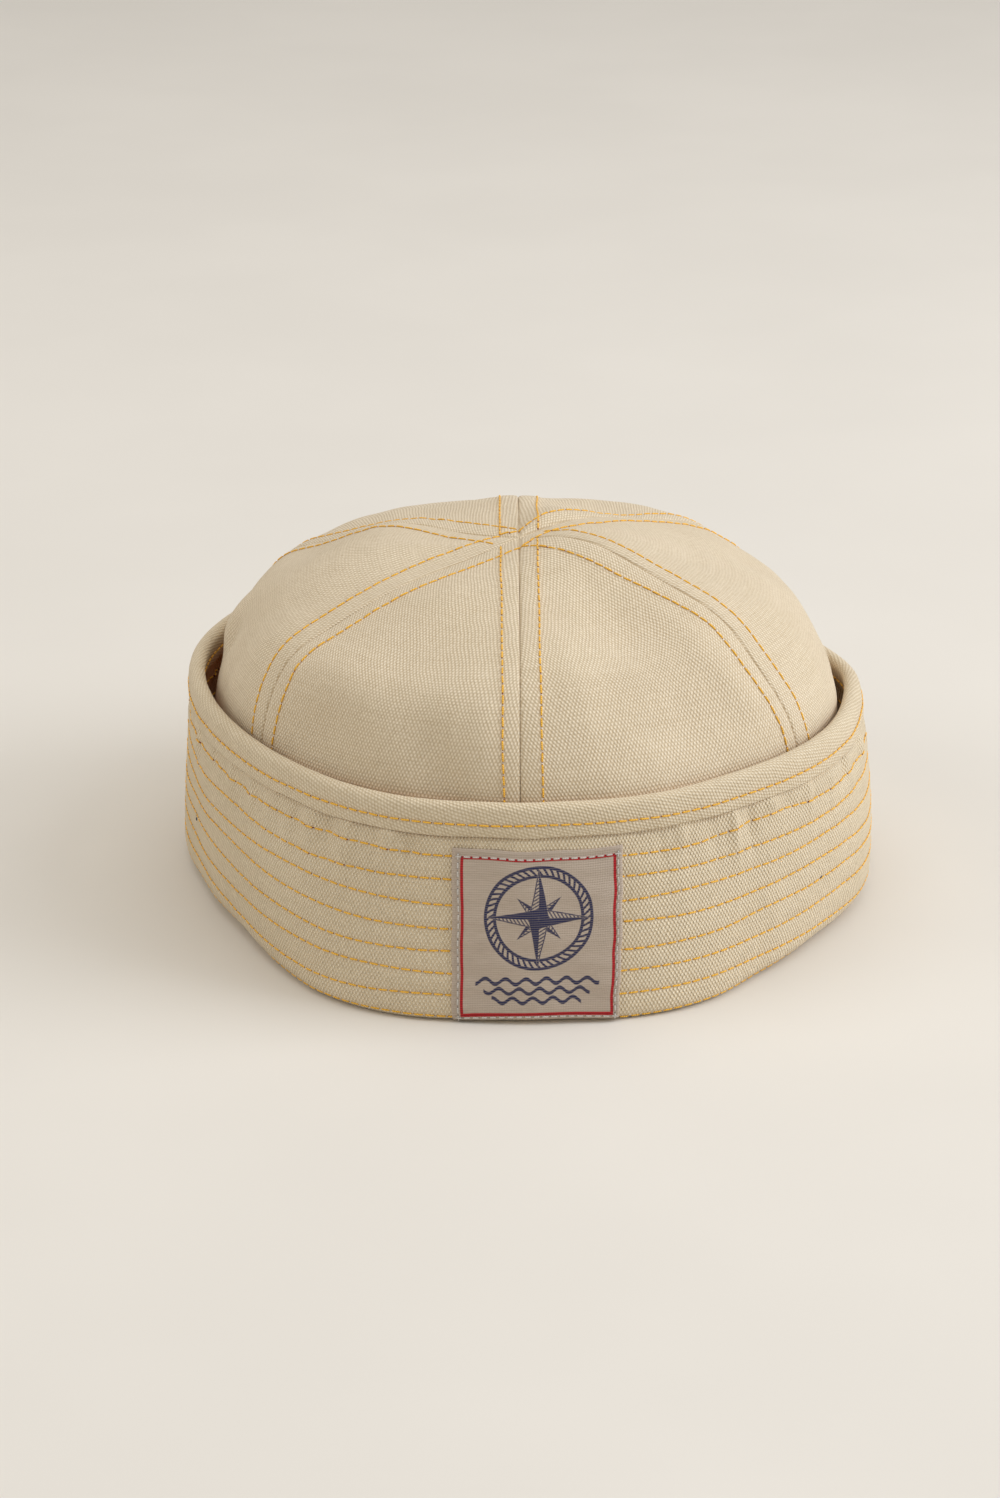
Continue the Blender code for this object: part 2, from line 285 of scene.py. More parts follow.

# %% [markdown]
# ## Sewing thread
# The topstitching is a thick twisted thread, golden orange, with painted shade where each stitch dives
# into its needle hole. The stitch's own UV map runs from 0 to 1 along it, which is enough to find both
# ends, and slanted bands round it read as the twist.

# %% Thread material
def thread(name, middle, deep, hole_shade):
    """Twisted thread: its tone between the twists, in them, and the painted shade at the needle holes."""
    recipe = Recipe(name)
    along, round_it = recipe.place()
    edge = (along - 0.5).size() * 2.0
    twist = (along * 5.0 + round_it).cosine(1.0) * 0.5 + 0.5
    strand = recipe.mix(twist * 0.55, middle, deep)
    # Painted shade at both ends, where the thread dives into its needle hole.
    tone = recipe.mix(edge.step(0.70, 0.86), strand, hole_shade)
    return recipe.finish(tone, 0.62, twist * 0.12, 1.0, sheen=0.2)


# The last colour of each thread is the painted shade at its needle holes.
orange_thread = thread("orange_thread", colour(255, 201, 70), colour(240, 165, 38), colour(150, 66, 30))
white_thread = thread("off_white_thread", colour(226, 220, 210), colour(170, 160, 150), colour(80, 70, 62))
print("threads:", orange_thread.name, white_thread.name)

# %% [markdown]
# ## Floor and light
# The photograph was taken on pale seamless paper in one big soft light from the right. A wide floor
# that reaches past every edge of the picture stands for the paper. A large area light on the right
# gives the soft shadow on the left, and a pale sky fills it.

# %% Floor and light
FLOOR_HALF = 5.0            # m
LIGHT_TARGET = (0.0, 0.0, 0.05)
FILL, KEY = (1.0, 0.98, 0.949), (0.88, 0.922, 1.0)
LIGHTS = [                  # name, place and width in metres, power in watts, tint
    ("key", (1.5, -0.1, 1.35), 1.3, 12.9, KEY),
    ("low_key", (1.9, -0.2, 0.8), 1.3, 18.7, KEY),
    ("overhead", (0.0, 0.2, 2.2), 2.2, 17.7, FILL),
    ("left_fill", (-1.8, -0.4, 1.2), 1.4, 9.7, FILL)]
SKY_STRENGTH = 0.378

paper = Recipe("paper")
paper_grain = paper.noise(paper.made("ShaderNodeTexCoord", output="Object"), 6.0, 3.0)
paper_tone = paper.mix(paper_grain.step(0.3, 0.7), colour(227, 221, 211), colour(230, 224, 214))
floor_mesh = bpy.data.meshes.new("floor")
corners = [(x * FLOOR_HALF, y * FLOOR_HALF, 0.0) for x, y in ((-1, -1), (1, -1), (1, 1), (-1, 1))]
floor_mesh.from_pydata(corners, [], [(0, 1, 2, 3)])
floor_mesh.materials.append(paper.finish(paper_tone, 0.85))
floor = put_in_scene("floor", floor_mesh)

for name, place, size, power, tint in LIGHTS:
    light_data = bpy.data.lights.new(name, "AREA")
    light_data.size, light_data.energy, light_data.color = size, power, tint
    light = put_in_scene(name, light_data)
    light.location = place
    toward = np.array(LIGHT_TARGET) - np.array(place)
    light.rotation_euler = (math.pi / 2 + math.atan2(toward[2], math.hypot(toward[0], toward[1])), 0.0,
                            math.atan2(-toward[0], toward[1]))
    print("%s: %.1f W, %.1f m across" % (name, power, size))

world = bpy.data.worlds.new("studio")
world.use_nodes = True
sky = world.node_tree.nodes["Background"].inputs
sky["Color"].default_value, sky["Strength"].default_value = (*FILL, 1.0), SKY_STRENGTH
bpy.context.scene.world = world

# %% [markdown]
# ## The shape tables
# The cap is a little out of round, so its section is given at twelve places, thirty degrees apart,
# exactly as in the CAD model. A Catmull-Rom curve passes through every entry, and because the numbers
# are arrays, one call works out thousands of places at once. All of it is in millimetres.

# %% Shape tables
AXIS_X, AXIS_Y = -1.94, 1.17      # the crown's axis, from the middle of the outline

BRIM = dict(
    fold=[100.1, 100.4, 99.6, 96.4, 92.0, 99.4, 101.0, 100.5, 97.8, 100.0, 100.0, 99.8],
    rim=[94.3, 94.9, 93.6, 91.5, 89.0, 89.4, 90.1, 90.3, 93.9, 92.8, 89.6, 92.1],
    depth=[60.0, 60.7, 62.0, 63.2, 61.2, 60.4, 60.5, 60.5, 60.1, 58.8, 58.9, 59.4],
    belly=[0.6, 0.8, 1.2, 1.4, 1.9, 1.4, 1.0, 1.7, 2.9, 3.0, 1.6, 0.8],
    roll=[4.4, 4.6, 5.3, 5.9, 6.9, 3.2, 2.5, 2.9, 7.4, 6.8, 5.6, 4.7])
CROWN = dict(
    top=[99.2, 98.4, 97.6, 98.1, 96.5, 97.8, 99.5, 102.2, 104.5, 103.6, 101.2, 103.1],
    middle=[97.7, 96.0, 97.7, 97.5, 93.4, 95.7, 94.2, 93.4, 98.2, 96.3, 96.9, 93.7],
    outer=[88.1, 89.8, 86.6, 88.3, 86.0, 85.4, 88.5, 87.0, 91.3, 88.8, 90.3, 92.3],
    shoulder=[81.5, 83.7, 79.9, 73.8, 76.1, 76.5, 75.2, 70.8, 75.0, 77.2, 81.0, 78.5],
    rim_level=[87.3, 88.2, 86.9, 85.0, 84.8, 84.3, 85.1, 86.0, 90.0, 89.0, 81.1, 84.3])


def cubic(before, start, end, after, share):
    """Catmull-Rom curve from start to end."""
    return 0.5 * (2 * start + (end - before) * share
                  + (2 * before - 5 * start + 4 * end - after) * share ** 2
                  + (3 * start - before - 3 * end + after) * share ** 3)


def around(values, azimuth):
    """A table's value at any azimuth, in degrees from the front towards the right."""
    values = np.asarray(values, float)
    place = (np.asarray(azimuth, float) + 180) / (360 / len(values))
    first = np.floor(place).astype(int)
    before, start, end, after = (values[(first + step) % len(values)] for step in (-1, 0, 1, 2))
    return cubic(before, start, end, after, place - first)


def on_cap(azimuth, radius, height):
    """Places round the crown's axis as x, y, z."""
    turn = np.radians(azimuth)
    x = AXIS_X + radius * np.sin(turn)
    y = AXIS_Y - radius * np.cos(turn)
    return np.stack(np.broadcast_arrays(x, y, height), axis=-1)


def turn_from(place, azimuth):
    """How far round the cap azimuth lies from place, from -180 to 180 degrees."""
    return (azimuth - place + 180) % 360 - 180


def bell(distance, width):
    """1 in the middle, falling smoothly to 0 on both sides."""
    return np.exp(-(distance / width) ** 2)


def smooth_step(value, low, high):
    share = np.clip((value - low) / (high - low), 0.0, 1.0)
    return share * share * (3 - 2 * share)


def ripples(u, v, wavelength, seed, waves=14):
    """Smooth random swelling over a surface, about 1 high; u and v are millimetres."""
    rng = np.random.default_rng(seed)
    total = 0.0
    for _ in range(waves):
        turn = rng.uniform(0, 2 * math.pi)
        number = 2 * math.pi / (wavelength * rng.uniform(0.7, 1.5))
        shift = rng.uniform(0, 2 * math.pi)
        total = total + np.cos(number * (u * math.cos(turn) + v * math.sin(turn)) + shift)
    return total / math.sqrt(waves / 2) / 1.4


print("radius of the rim at the front: %.1f mm" % around(BRIM["rim"], 0.0))

# %% [markdown]
# ## The brim's cloth as one path
# In section the brim is a strip of cloth: it hangs from the rim as a wall, rolls under at the fold,
# touches the floor and turns up inside, where it meets the crown. `brim_face` follows that strip, so
# every detail is placed by how far down the cloth it lies, as a sewer would measure it.

# %% Brim path
BRIM_CLOTH, THINNEST = 2.0, 1.5
JOIN_LENGTH = 9.0           # mm over which the wall eases into the fold
FOOT_WIDTH, LIP_RADIUS, LIP_TOP = 1.8, 2.6, 4.6
WALL_RADIUS, RIM_RADIUS = 95.0, 92.0        # typical ones, which turn degrees into cloth

# Soft corners of the folded edge: azimuth, push outwards in mm. The rim has one, with its own spread.
CORNERS = [
    (-98, 0.7), (-88, -1.2), (-80, -2.4), (-72, -1.4), (-64, -1.6), (-56, -1.3), (-48, -0.4),
    (-32, 1.1), (-24, 1.4), (-16, 0.9), (-6, -1.5), (6, -1.7), (16, 0.4), (24, 1.2), (32, 0.8),
    (40, -1.2), (48, -0.8), (56, -0.4), (72, 1.4), (80, 0.9)]
CORNER_SPREAD = 6.5         # degrees
RIM_CORNER = (94.0, 11.0, 2.0)


def corner_push(azimuth):
    return sum(push * bell(turn_from(place, azimuth), CORNER_SPREAD) for place, push in CORNERS)


def rim_radius(azimuth):
    place, spread, push = RIM_CORNER
    return around(BRIM["rim"], azimuth) + push * bell(turn_from(place, azimuth), spread)


def wall(azimuth):
    """The numbers that shape the brim's section at each azimuth."""
    w = SimpleNamespace(**{name: around(values, azimuth) for name, values in BRIM.items()})
    w.fold = w.fold + corner_push(azimuth)
    w.rim = rim_radius(azimuth)
    w.lean = (w.fold - w.rim) / w.depth
    w.rise = np.sqrt(1 - w.lean ** 2)
    change = (rim_radius(azimuth + 3.0) - rim_radius(azimuth - 3.0)) / math.radians(6.0)
    w.slant = np.hypot(1.0, change / w.rim)
    low_lean = w.lean - 4 * w.belly / w.depth
    low_rise = np.sqrt(1 - low_lean ** 2)
    w.roll_x = w.fold - w.roll * (1 + low_lean) / low_rise
    w.roll_turn = np.arctan2(low_lean, low_rise)
    start_x, start_z = w.roll_x + w.roll * low_rise, w.roll + w.roll * low_lean
    w.roll_drop = w.depth - np.hypot(start_x - w.fold, start_z)
    on_wall = wall_place(w, w.roll_drop, 0.0)
    w.join_x, w.join_z = start_x - on_wall[0], start_z - on_wall[1]
    w.foot_drop = w.roll_drop + w.roll * (w.roll_turn + math.pi / 2)
    w.lip_drop = w.foot_drop + FOOT_WIDTH
    w.up_drop = w.lip_drop + LIP_RADIUS * math.pi / 2
    w.end_drop = w.up_drop + LIP_TOP - LIP_RADIUS
    return w


def wall_place(w, drop, lift):
    """Radius and height on the straight part of the brim's section."""
    share = drop / w.depth
    out = lift + 4 * w.belly * share * (1 - share)
    x = w.rim + w.lean * drop + w.rise * w.slant * out
    z = w.depth * w.rise - w.rise * drop + w.lean * w.slant * out
    return x, z


def brim_face(azimuth, drop, lift=0.0):
    """Places on the brim's outer cloth, drop down from the rim and lifted off its face."""
    azimuth, drop, lift = np.broadcast_arrays(azimuth, drop, lift)
    w = wall(azimuth)
    x, z = wall_place(w, np.minimum(drop, w.roll_drop), lift)
    join = smooth_step(drop, w.roll_drop - JOIN_LENGTH, w.roll_drop)
    x, z = x + w.join_x * join, z + w.join_z * join

    turn = w.roll_turn - (drop - w.roll_drop) / w.roll
    on_roll = (w.roll_x + (w.roll + lift) * np.cos(turn), w.roll + (w.roll + lift) * np.sin(turn))
    on_foot = (w.roll_x - (drop - w.foot_drop), -lift)
    lip_x = w.roll_x - FOOT_WIDTH
    turn = -math.pi / 2 - (drop - w.lip_drop) / LIP_RADIUS
    on_lip = (lip_x + (LIP_RADIUS + lift) * np.cos(turn), LIP_RADIUS + (LIP_RADIUS + lift) * np.sin(turn))
    on_rise = (lip_x - LIP_RADIUS - lift, LIP_RADIUS + (drop - w.up_drop))
    for start, (there_x, there_z) in (
            (w.roll_drop, on_roll), (w.foot_drop, on_foot), (w.lip_drop, on_lip), (w.up_drop, on_rise)):
        x, z = np.where(drop > start, there_x, x), np.where(drop > start, there_z, z)
    return on_cap(azimuth, x, z)


def face_normal(surface, u, v, step_u=0.05, step_v=0.05):
    """Unit normals of a surface given as a function of two numbers."""
    along = surface(u + step_u, v) - surface(u - step_u, v)
    down = surface(u, v + step_v) - surface(u, v - step_v)
    normal = np.cross(down, along)
    return normal / np.linalg.norm(normal, axis=-1, keepdims=True)


front = wall(np.array(0.0))
print("cloth from rim to crown seam at the front: %.1f mm" % front.end_drop)

# %% [markdown]
# ## A cloth maker
# Each cloth piece is a grid of points on its outer face and a second grid behind it, one thickness
# away. The two are joined along every free edge, so that the piece is a closed solid with its faces
# pointing outwards. The grid also carries a UV map in millimetres of cloth, which the weave reads.

# %% Cloth maker
def grid_faces(rows, columns, ring):
    """Corner numbers of a grid's faces, with the grid's face outwards."""
    row, column = np.meshgrid(
        np.arange(rows - 1), np.arange(columns if ring else columns - 1), indexing="ij")
    following = (column + 1) % columns
    corners = [row * columns + column, (row + 1) * columns + column,
               (row + 1) * columns + following, row * columns + following]
    return np.stack(corners, axis=-1).reshape(-1, 4)


def gap_shade(azimuth):
    """How strongly the painted brown shade of the gap darkens the cloth: more light reaches in on the
    right.
    """
    return 1 - 0.72 * bell(turn_from(95, azimuth), 38.0)


def cloth_piece(name, outer, inner, uv, material, ring=0.0, inner_uv=None, inside=0.0, inner_painted_shade=1.0):
    """A closed cloth solid from two grids of places in millimetres, top edge first.

    ring is the cloth's length round the cap, or 0 for an open piece. The last two arguments say how
    much of the gap's painted brown shade the outer and the inner grid take.
    """
    rows, columns = outer.shape[:2]
    back_rows = inner.shape[0]
    back_first = rows * columns
    here = np.arange(columns if ring else columns - 1)
    following = (here + 1) % columns
    low, back_low = (rows - 1) * columns, back_first + (back_rows - 1) * columns
    parts = [
        grid_faces(rows, columns, ring), grid_faces(back_rows, columns, ring)[:, ::-1] + back_first,
        np.stack([here, following, following + back_first, here + back_first], -1),
        np.stack([low + following, low + here, back_low + here, back_low + following], -1)]
    if not ring:
        assert rows == back_rows
        left = np.arange(rows - 1) * columns
        right = left + columns - 1
        parts += [np.stack([left + columns, left, left + back_first, left + back_first + columns], -1),
                  np.stack([right, right + columns, right + back_first + columns, right + back_first], -1)]
    faces = np.concatenate(parts)
    places = np.concatenate([outer.reshape(-1, 3), inner.reshape(-1, 3)]) * MM
    mesh = bpy.data.meshes.new(name)
    mesh.from_pydata(places.tolist(), [], faces.tolist())

    both = np.concatenate([uv.reshape(-1, 2), (uv if inner_uv is None else inner_uv).reshape(-1, 2)])
    corner = both[faces]
    if ring:
        # The ring closes on itself: the last column's faces take their far side one turn further.
        behind = corner[:, :, 0] < corner[:, :, 0].max(1, keepdims=True) - ring / 2
        corner[:, :, 0] += np.where(behind, ring, 0.0)
    mesh.uv_layers.new(name="cloth").data.foreach_set("uv", corner.astype(np.float32).ravel())
    # How much painted gap shade each point takes, read by the canvas.
    painted_shade_share = np.concatenate([np.broadcast_to(inside, (rows, columns)).ravel(),
                           np.broadcast_to(inner_painted_shade, (back_rows, columns)).ravel()])
    attribute = mesh.attributes.new("inside", "FLOAT", "POINT")
    attribute.data.foreach_set("value", painted_shade_share.astype(np.float32))
    mesh.materials.append(material)
    mesh.shade_smooth()
    print("%s: %d faces" % (name, len(faces)))
    return put_in_scene(name, mesh)

# %% [markdown]
# ## Rows of quilting
# Nine rows of stitches run round the brim. They were guided by hand, so each wanders up and down a
# little, by random draws. Between two rows the doubled cloth swells, and along each row it is pulled
# in. Just under the tape the cloth is gathered into short upright puckers.

# %% Quilting rows and puckers
ROWS = np.array([5.96, 14.84, 21.48, 27.34, 33.66, 40.19, 46.84, 53.3, 59.4])
ROW_WANDER = np.array([0.25] + [0.8] * 8)[:, None]      # mm; the tape's own row is straighter
ROW_SHIFTS = np.random.default_rng(8).uniform(-ROW_WANDER, ROW_WANDER, (len(ROWS), 24))
TAPE_DEPTH, DEEPEST_PUCKER = 9.1, 1.5

# Upright puckers stand all round under the tape, ridge and hollow in turn. Their places, sizes and
# depths are random draws about these values, in mm.
PUCKER_SPACING, PUCKER_DEPTH = 6.5, 0.85
PUCKER_LENGTHS, PUCKER_WIDTHS = (3.0, 8.5), (1.2, 2.6)
BEHIND_LABEL = (-15.5, 21.5)   # degrees between which the label holds the cloth flat
pucker_draws = np.random.default_rng(5)
pucker_count = 2 * round(math.pi * RIM_RADIUS / PUCKER_SPACING)
PUCKERS = []                # azimuth, how far down it centres, half width, length, depth
for number in range(pucker_count):
    place = 360 * (number + pucker_draws.uniform(-0.4, 0.4)) / pucker_count - 180
    length, width = pucker_draws.uniform(*PUCKER_LENGTHS), pucker_draws.uniform(*PUCKER_WIDTHS)
    depth = PUCKER_DEPTH * pucker_draws.uniform(0.2, 1.6) * (-1) ** number
    if not BEHIND_LABEL[0] < place < BEHIND_LABEL[1]:
        PUCKERS.append((place, TAPE_DEPTH + 0.6 * length, width, length, depth))
print("%d puckers under the tape" % len(PUCKERS))


def between_rows(level):
    """The number of the stitch row above each level, and the share of the way down to the next."""
    first = np.clip(np.searchsorted(ROWS, level) - 1, 0, len(ROWS) - 2)
    return first, np.clip((level - ROWS[first]) / (ROWS[first + 1] - ROWS[first]), 0.0, 1.0)


def row_drop(level, azimuth):
    """Where a mesh row lies down the cloth, bent as the stitch rows near it are."""
    level, azimuth = np.broadcast_arrays(np.asarray(level, float), np.asarray(azimuth, float))
    first, share = between_rows(level)
    shifts = np.stack([around(row, azimuth) for row in ROW_SHIFTS])
    above, below = (np.take_along_axis(shifts, (first + step)[None], 0)[0] for step in (0, 1))
    return level + above + (below - above) * share


def quilting(azimuth, level):
    """How far the brim's face stands off its smooth shape; level counts as in ROWS."""
    azimuth, level = np.broadcast_arrays(azimuth, level)
    reach = np.radians(azimuth) * WALL_RADIUS
    swell = 1 - np.abs(2 * between_rows(level)[1] - 1) ** 2.4
    swell = swell * (0.22 + 0.07 * ripples(reach, level * 0.4, 26.0, 11))
    pull = sum(bell(level - row, 0.5) for row in ROWS[1:]) * 0.14
    in_use = smooth_step(level, TAPE_DEPTH - 2.0, TAPE_DEPTH + 0.5)
    in_use = in_use * (1 - smooth_step(level, 58.5, 61.0))
    near_tape = np.exp(-np.maximum(level - 11.0, 0.0) / 13.0)
    gather = ripples(reach, level * 0.25, 9.0, 12) * (0.04 + 0.08 * near_tape)
    drape = ripples(reach, level * 0.8, 34.0, 13) * 0.08
    for place, centre, width, length, depth in PUCKERS:
        away = np.radians(turn_from(place, azimuth)) * RIM_RADIUS
        gather = gather - depth * bell(away, width) * bell(level - centre, length)
    gather = DEEPEST_PUCKER * np.tanh(gather / DEEPEST_PUCKER)
    under_tape = 0.45 * bell(level - TAPE_DEPTH - 0.3, 0.4)
    return (swell - pull) * in_use + (gather + drape) * in_use - under_tape


def inner_face_lift(azimuth, level):
    """The same for the brim's inner face, whose swelling is flatter and a little out of step."""
    behind = -BRIM_CLOTH - 0.6 * quilting(azimuth + 1.7, level)
    return np.minimum(behind, quilting(azimuth, level) - THINNEST)


BESIDE = 1.15               # mm from a row of stitches to the next plain mesh row
FOLD_START = 55.5           # mm down the cloth, where the fold's own mesh rows begin
levels = [2.6, 5.0, 7.4, 8.7, 9.1, 9.4, 9.7, 10.3, 11.2, 12.4]
for row, following in zip(ROWS[1:-1], ROWS[2:]):
    levels += [row - BESIDE, row - 0.5, row, row + 0.5, row + BESIDE]
    levels += list(np.linspace(row + BESIDE, following - BESIDE, 5)[1:-1])
levels = np.array([level for level in levels if level < FOLD_START])
print("%d mesh rows down the wall" % len(levels))

# %% [markdown]
# ## The brim
# The brim is one long grid round the cap: rows that follow the stitching down the wall, then evenly
# spaced rows round the fold, under the foot and up to the crown seam. Its inner face shows above the
# crown at both sides, so it is quilted too.

# %% Brim
BRIM_COLUMNS, UNDER_ROWS, END_LEVEL = 780, 19, 72.0
QUILTED_DEPTH = 54          # mm down the cloth; the fold below it is plain inside
BRIM_UV_RADIUS = 96.0

brim_azimuths = np.linspace(-180, 180, BRIM_COLUMNS, endpoint=False)[None, :]
wall_drops = row_drop(levels[:, None], brim_azimuths)
under_share = np.linspace(0, 1, UNDER_ROWS + 1)[1:, None]
brim_drops = np.concatenate([
    wall_drops, wall_drops[-1:] + (wall(brim_azimuths).end_drop - wall_drops[-1:]) * under_share])
brim_levels = np.r_[levels, levels[-1] + (END_LEVEL - levels[-1]) * under_share[:, 0]][:, None]
stands = smooth_step(brim_face(brim_azimuths, brim_drops)[..., 2], 0.3, 2.5)
brim_outer = brim_face(brim_azimuths, brim_drops, quilting(brim_azimuths, brim_levels) * stands)
inner_lift = np.where(
    brim_drops < QUILTED_DEPTH, inner_face_lift(brim_azimuths, brim_levels), -BRIM_CLOTH)
brim_inner = brim_face(brim_azimuths, brim_drops, inner_lift)
inner_rows = np.unique(np.r_[
    0:len(levels):2, len(levels):len(brim_drops):2, len(brim_drops) - 1])
brim_uv = np.stack(np.broadcast_arrays(np.radians(brim_azimuths) * BRIM_UV_RADIUS, brim_drops), -1)
# The brim's inner face takes the painted brown shade of the gap.
brim = cloth_piece(
    "quilted_brim", brim_outer, brim_inner[inner_rows], brim_uv, brim_canvas, inner_uv=brim_uv[inner_rows],
    ring=2 * math.pi * BRIM_UV_RADIUS, inner_painted_shade=gap_shade(brim_azimuths))
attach(brim, "root")
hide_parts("brim")

# %% [markdown]
# ## The bias tape
# A strip of the same canvas, cut on the diagonal so that it bends round the rim, is folded over the
# brim's raw edge and sewn through. Its section is a narrow U: a rounded band above the stitches, a
# flatter one below, and a folded edge that comes down on the brim. The edge wavers slightly.

# %% Bias tape
TAPE_CLOTH, TAPE_GAP = 1.0, 0.35
INNER_LEG = 0.72            # the inner leg lies flatter than the outer one
INNER_TURN = 40.0           # degrees by which its waves differ from the outer leg's
TAPE_COLUMNS, TAPE_UV_RADIUS = 640, 91.0
LEG_DROPS = [9.1, 8.97, 8.75, 8.3, 7.7, 7.1, 6.65, 6.3, 5.96, 5.6, 5.2, 4.6, 3.9, 3.1, 2.35]


def tape_lift(azimuth, drop):
    """How far the tape's outer face stands off the brim's face."""
    row = row_drop(ROWS[0], azimuth)
    puff = 0.12 * np.sin(np.pi * np.clip((drop - 1.0) / (row - 1.0), 0, 1)) ** 1.2
    flat = 0.12 * np.sin(np.pi * np.clip((drop - row) / (TAPE_DEPTH - row), 0, 1))
    pull = 0.22 * bell(drop - row, 0.6)
    # The lower edge comes down on the brim, but stands off a little more at the front left.
    turned = 0.50 * smooth_step(drop, row, TAPE_DEPTH)
    turned = turned + 0.15 * smooth_step(drop, TAPE_DEPTH - 0.3, TAPE_DEPTH)
    turned = turned * (1 - 0.5 * bell(turn_from(-58, azimuth), 32.0))
    wave = 0.10 * ripples(np.radians(azimuth) * RIM_RADIUS, drop, 14.0, 21) * smooth_step(drop, 1.0, 4.0)
    return TAPE_GAP + TAPE_CLOTH + puff + flat - pull - turned + wave


def tape_section(azimuth, lift_of):
    """Places across the tape: up its outer leg, over the rim and down its inner leg."""
    inner = azimuth + INNER_TURN

    def bent(drop, there):
        """The lower edge wavers along the cloth."""
        waver = 0.16 * ripples(np.radians(there) * RIM_RADIUS, 0.0, 22.0, 22)
        return drop + waver * smooth_step(drop, 6.5, 8.7)

    def over_rim(turn):
        drop = LEG_DROPS[-1]
        outer_lift, inner_lift = (lift_of(there, drop + 0 * azimuth) for there in (azimuth, inner))
        share = (1 - math.cos(turn)) / 2
        half = BRIM_CLOTH / 2 + outer_lift * (1 - share) + inner_lift * INNER_LEG * share
        return on_cap(azimuth, *wall_place(
            wall(azimuth), drop - half * math.sin(turn), -BRIM_CLOTH / 2 + half * math.cos(turn)))

    outer_drops, inner_drops = ([bent(drop, there) for drop in LEG_DROPS] for there in (azimuth, inner))
    return np.stack(
        [brim_face(azimuth, drop, lift_of(azimuth, drop)) for drop in outer_drops]
        + [over_rim(turn) for turn in np.linspace(0, math.pi, 13)[1:-1]]
        + [brim_face(azimuth, drop, -BRIM_CLOTH - lift_of(inner, drop) * INNER_LEG)
           for drop in inner_drops[::-1]])


tape_azimuths = np.linspace(-180, 180, TAPE_COLUMNS, endpoint=False)
tape_outer = tape_section(tape_azimuths, tape_lift)[::-1]
tape_inner = tape_section(tape_azimuths, lambda azimuth, drop: 0.12 + 0 * drop)[::-1]
across = np.r_[0.0, np.cumsum(np.linalg.norm(np.diff(tape_outer[:, 0], axis=0), axis=-1))][:, None]
tape_uv = np.stack(np.broadcast_arrays(np.radians(tape_azimuths) * TAPE_UV_RADIUS, across), -1)
# The tape's inner leg takes the painted brown shade of the gap.
tape = cloth_piece(
    "bias_tape", tape_outer, tape_inner, tape_uv, bias_canvas, ring=2 * math.pi * TAPE_UV_RADIUS,
    inside=(1 - smooth_step(across, 7.0, 11.0)) * gap_shade(tape_azimuths))
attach(tape, "root")
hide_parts("brim_binding")

# %% [markdown]
# ## The crown's smooth shape
# The crown is a soft dome. Its profile runs through eight levels from the apex to the foot inside the
# brim. Some twenty folds and dents, each a smooth bell-shaped push, keep it from looking like a
# turned shape.

# %% Crown shape
APEX_HEIGHT, SHOULDER_HEIGHT, RIM_HEIGHT, WAIST_HEIGHT = 100.1, 80.3, 61.8, 33.0
FOOT_LEVEL, FOOT_HEIGHT = 7, LIP_TOP + 0.525
RING_RADII = (22.0, 43.0, 64.0)
SOFT_REACH, SOFT_SHARES = 0.45, np.linspace(-1, 1, 7)
FOOT_OUT = 1.6              # mm that the crown's foot overlaps the brim's lip
WAIST_OUT = 0.8             # mm that the crown bulges between rim and foot
FOLD_THICKNESS = 30.0       # mm over which a fold's push fades, square to its cloth

# Folds and dents, the CAD's own first and then smaller ones, given one by one: azimuth, level,
# spread across and down in mm, tilt in degrees and push outwards in mm.
FOLDS = [
    (-98, 4.65, 9, 12, 0, 2.4), (-101, 5.3, 8, 7, 0, -2.6), (-40, 3.2, 12, 15, 0, 1.3),
    (-43, 4.7, 13, 11, 0, -2), (-17, 4, 10, 16, 0, 1.1), (13, 3.7, 6, 22, 0, 1), (27, 2.5, 11, 14, 0, -1.2),
    (-140, 2.2, 16, 14, 0, -1.5), (152, 3.6, 16, 12, 0, -1.8), (104, 3.35, 9, 9, 0, -1.6),
    (-93, 4.7, 6, 8, 20, -2.6), (120, 3.6, 17, 11, 0, -1.6), (90, 5.35, 14, 6, 0, -1),
    (-16, 4.75, 6, 12, -20, -2), (-7, 4.4, 6, 14, 0, 1.4), (-66, 3.6, 8, 14, 0, 1.2),
    (34, 4.6, 14, 8, 0, -1.8), (48, 3.8, 7, 20, -10, 1.4), (74, 4.2, 12, 12, 0, 1.2)]


def from_axis(place):
    """The radius of places round the crown's axis."""
    return np.hypot(place[..., 0] - AXIS_X, place[..., 1] - AXIS_Y)


def crown_profile(azimuth):
    """Radius and height of the levels, from just past the apex to just past the foot."""
    c = SimpleNamespace(**{name: around(values, azimuth) for name, values in CROWN.items()})
    foot = wall(azimuth).roll_x - FOOT_WIDTH - LIP_RADIUS + FOOT_OUT
    waist = (c.rim_level + foot) / 2 + WAIST_OUT
    radii = (-RING_RADII[0], 0.0, *RING_RADII, c.shoulder, c.rim_level, waist, foot, waist)
    heights = (around(CROWN["top"], azimuth + 180), APEX_HEIGHT, c.top, c.middle, c.outer,
               SHOULDER_HEIGHT, RIM_HEIGHT, WAIST_HEIGHT, FOOT_HEIGHT, 2 * FOOT_HEIGHT - WAIST_HEIGHT)
    return [np.stack([value + 0.0 * foot for value in values]) for values in (radii, heights)]


def profile_place(azimuth, level):
    first = np.clip(np.floor(level).astype(int), 0, FOOT_LEVEL - 1)
    return on_cap(azimuth, *(
        cubic(*(np.take_along_axis(table, (first + step)[None], 0)[0] for step in range(4)), level - first)
        for table in crown_profile(azimuth)))


def smooth_crown(azimuth, level):
    """The mean of seven nearby places, so that no level of the table shows as a crease."""
    azimuth, level = np.broadcast_arrays(np.asarray(azimuth, float), np.asarray(level, float))
    reach = SOFT_REACH * smooth_step(level, 0.0, 1.0) * (1 - smooth_step(level, 5.6, 6.4))
    return sum(profile_place(azimuth, level + reach * share) for share in SOFT_SHARES) / len(SOFT_SHARES)


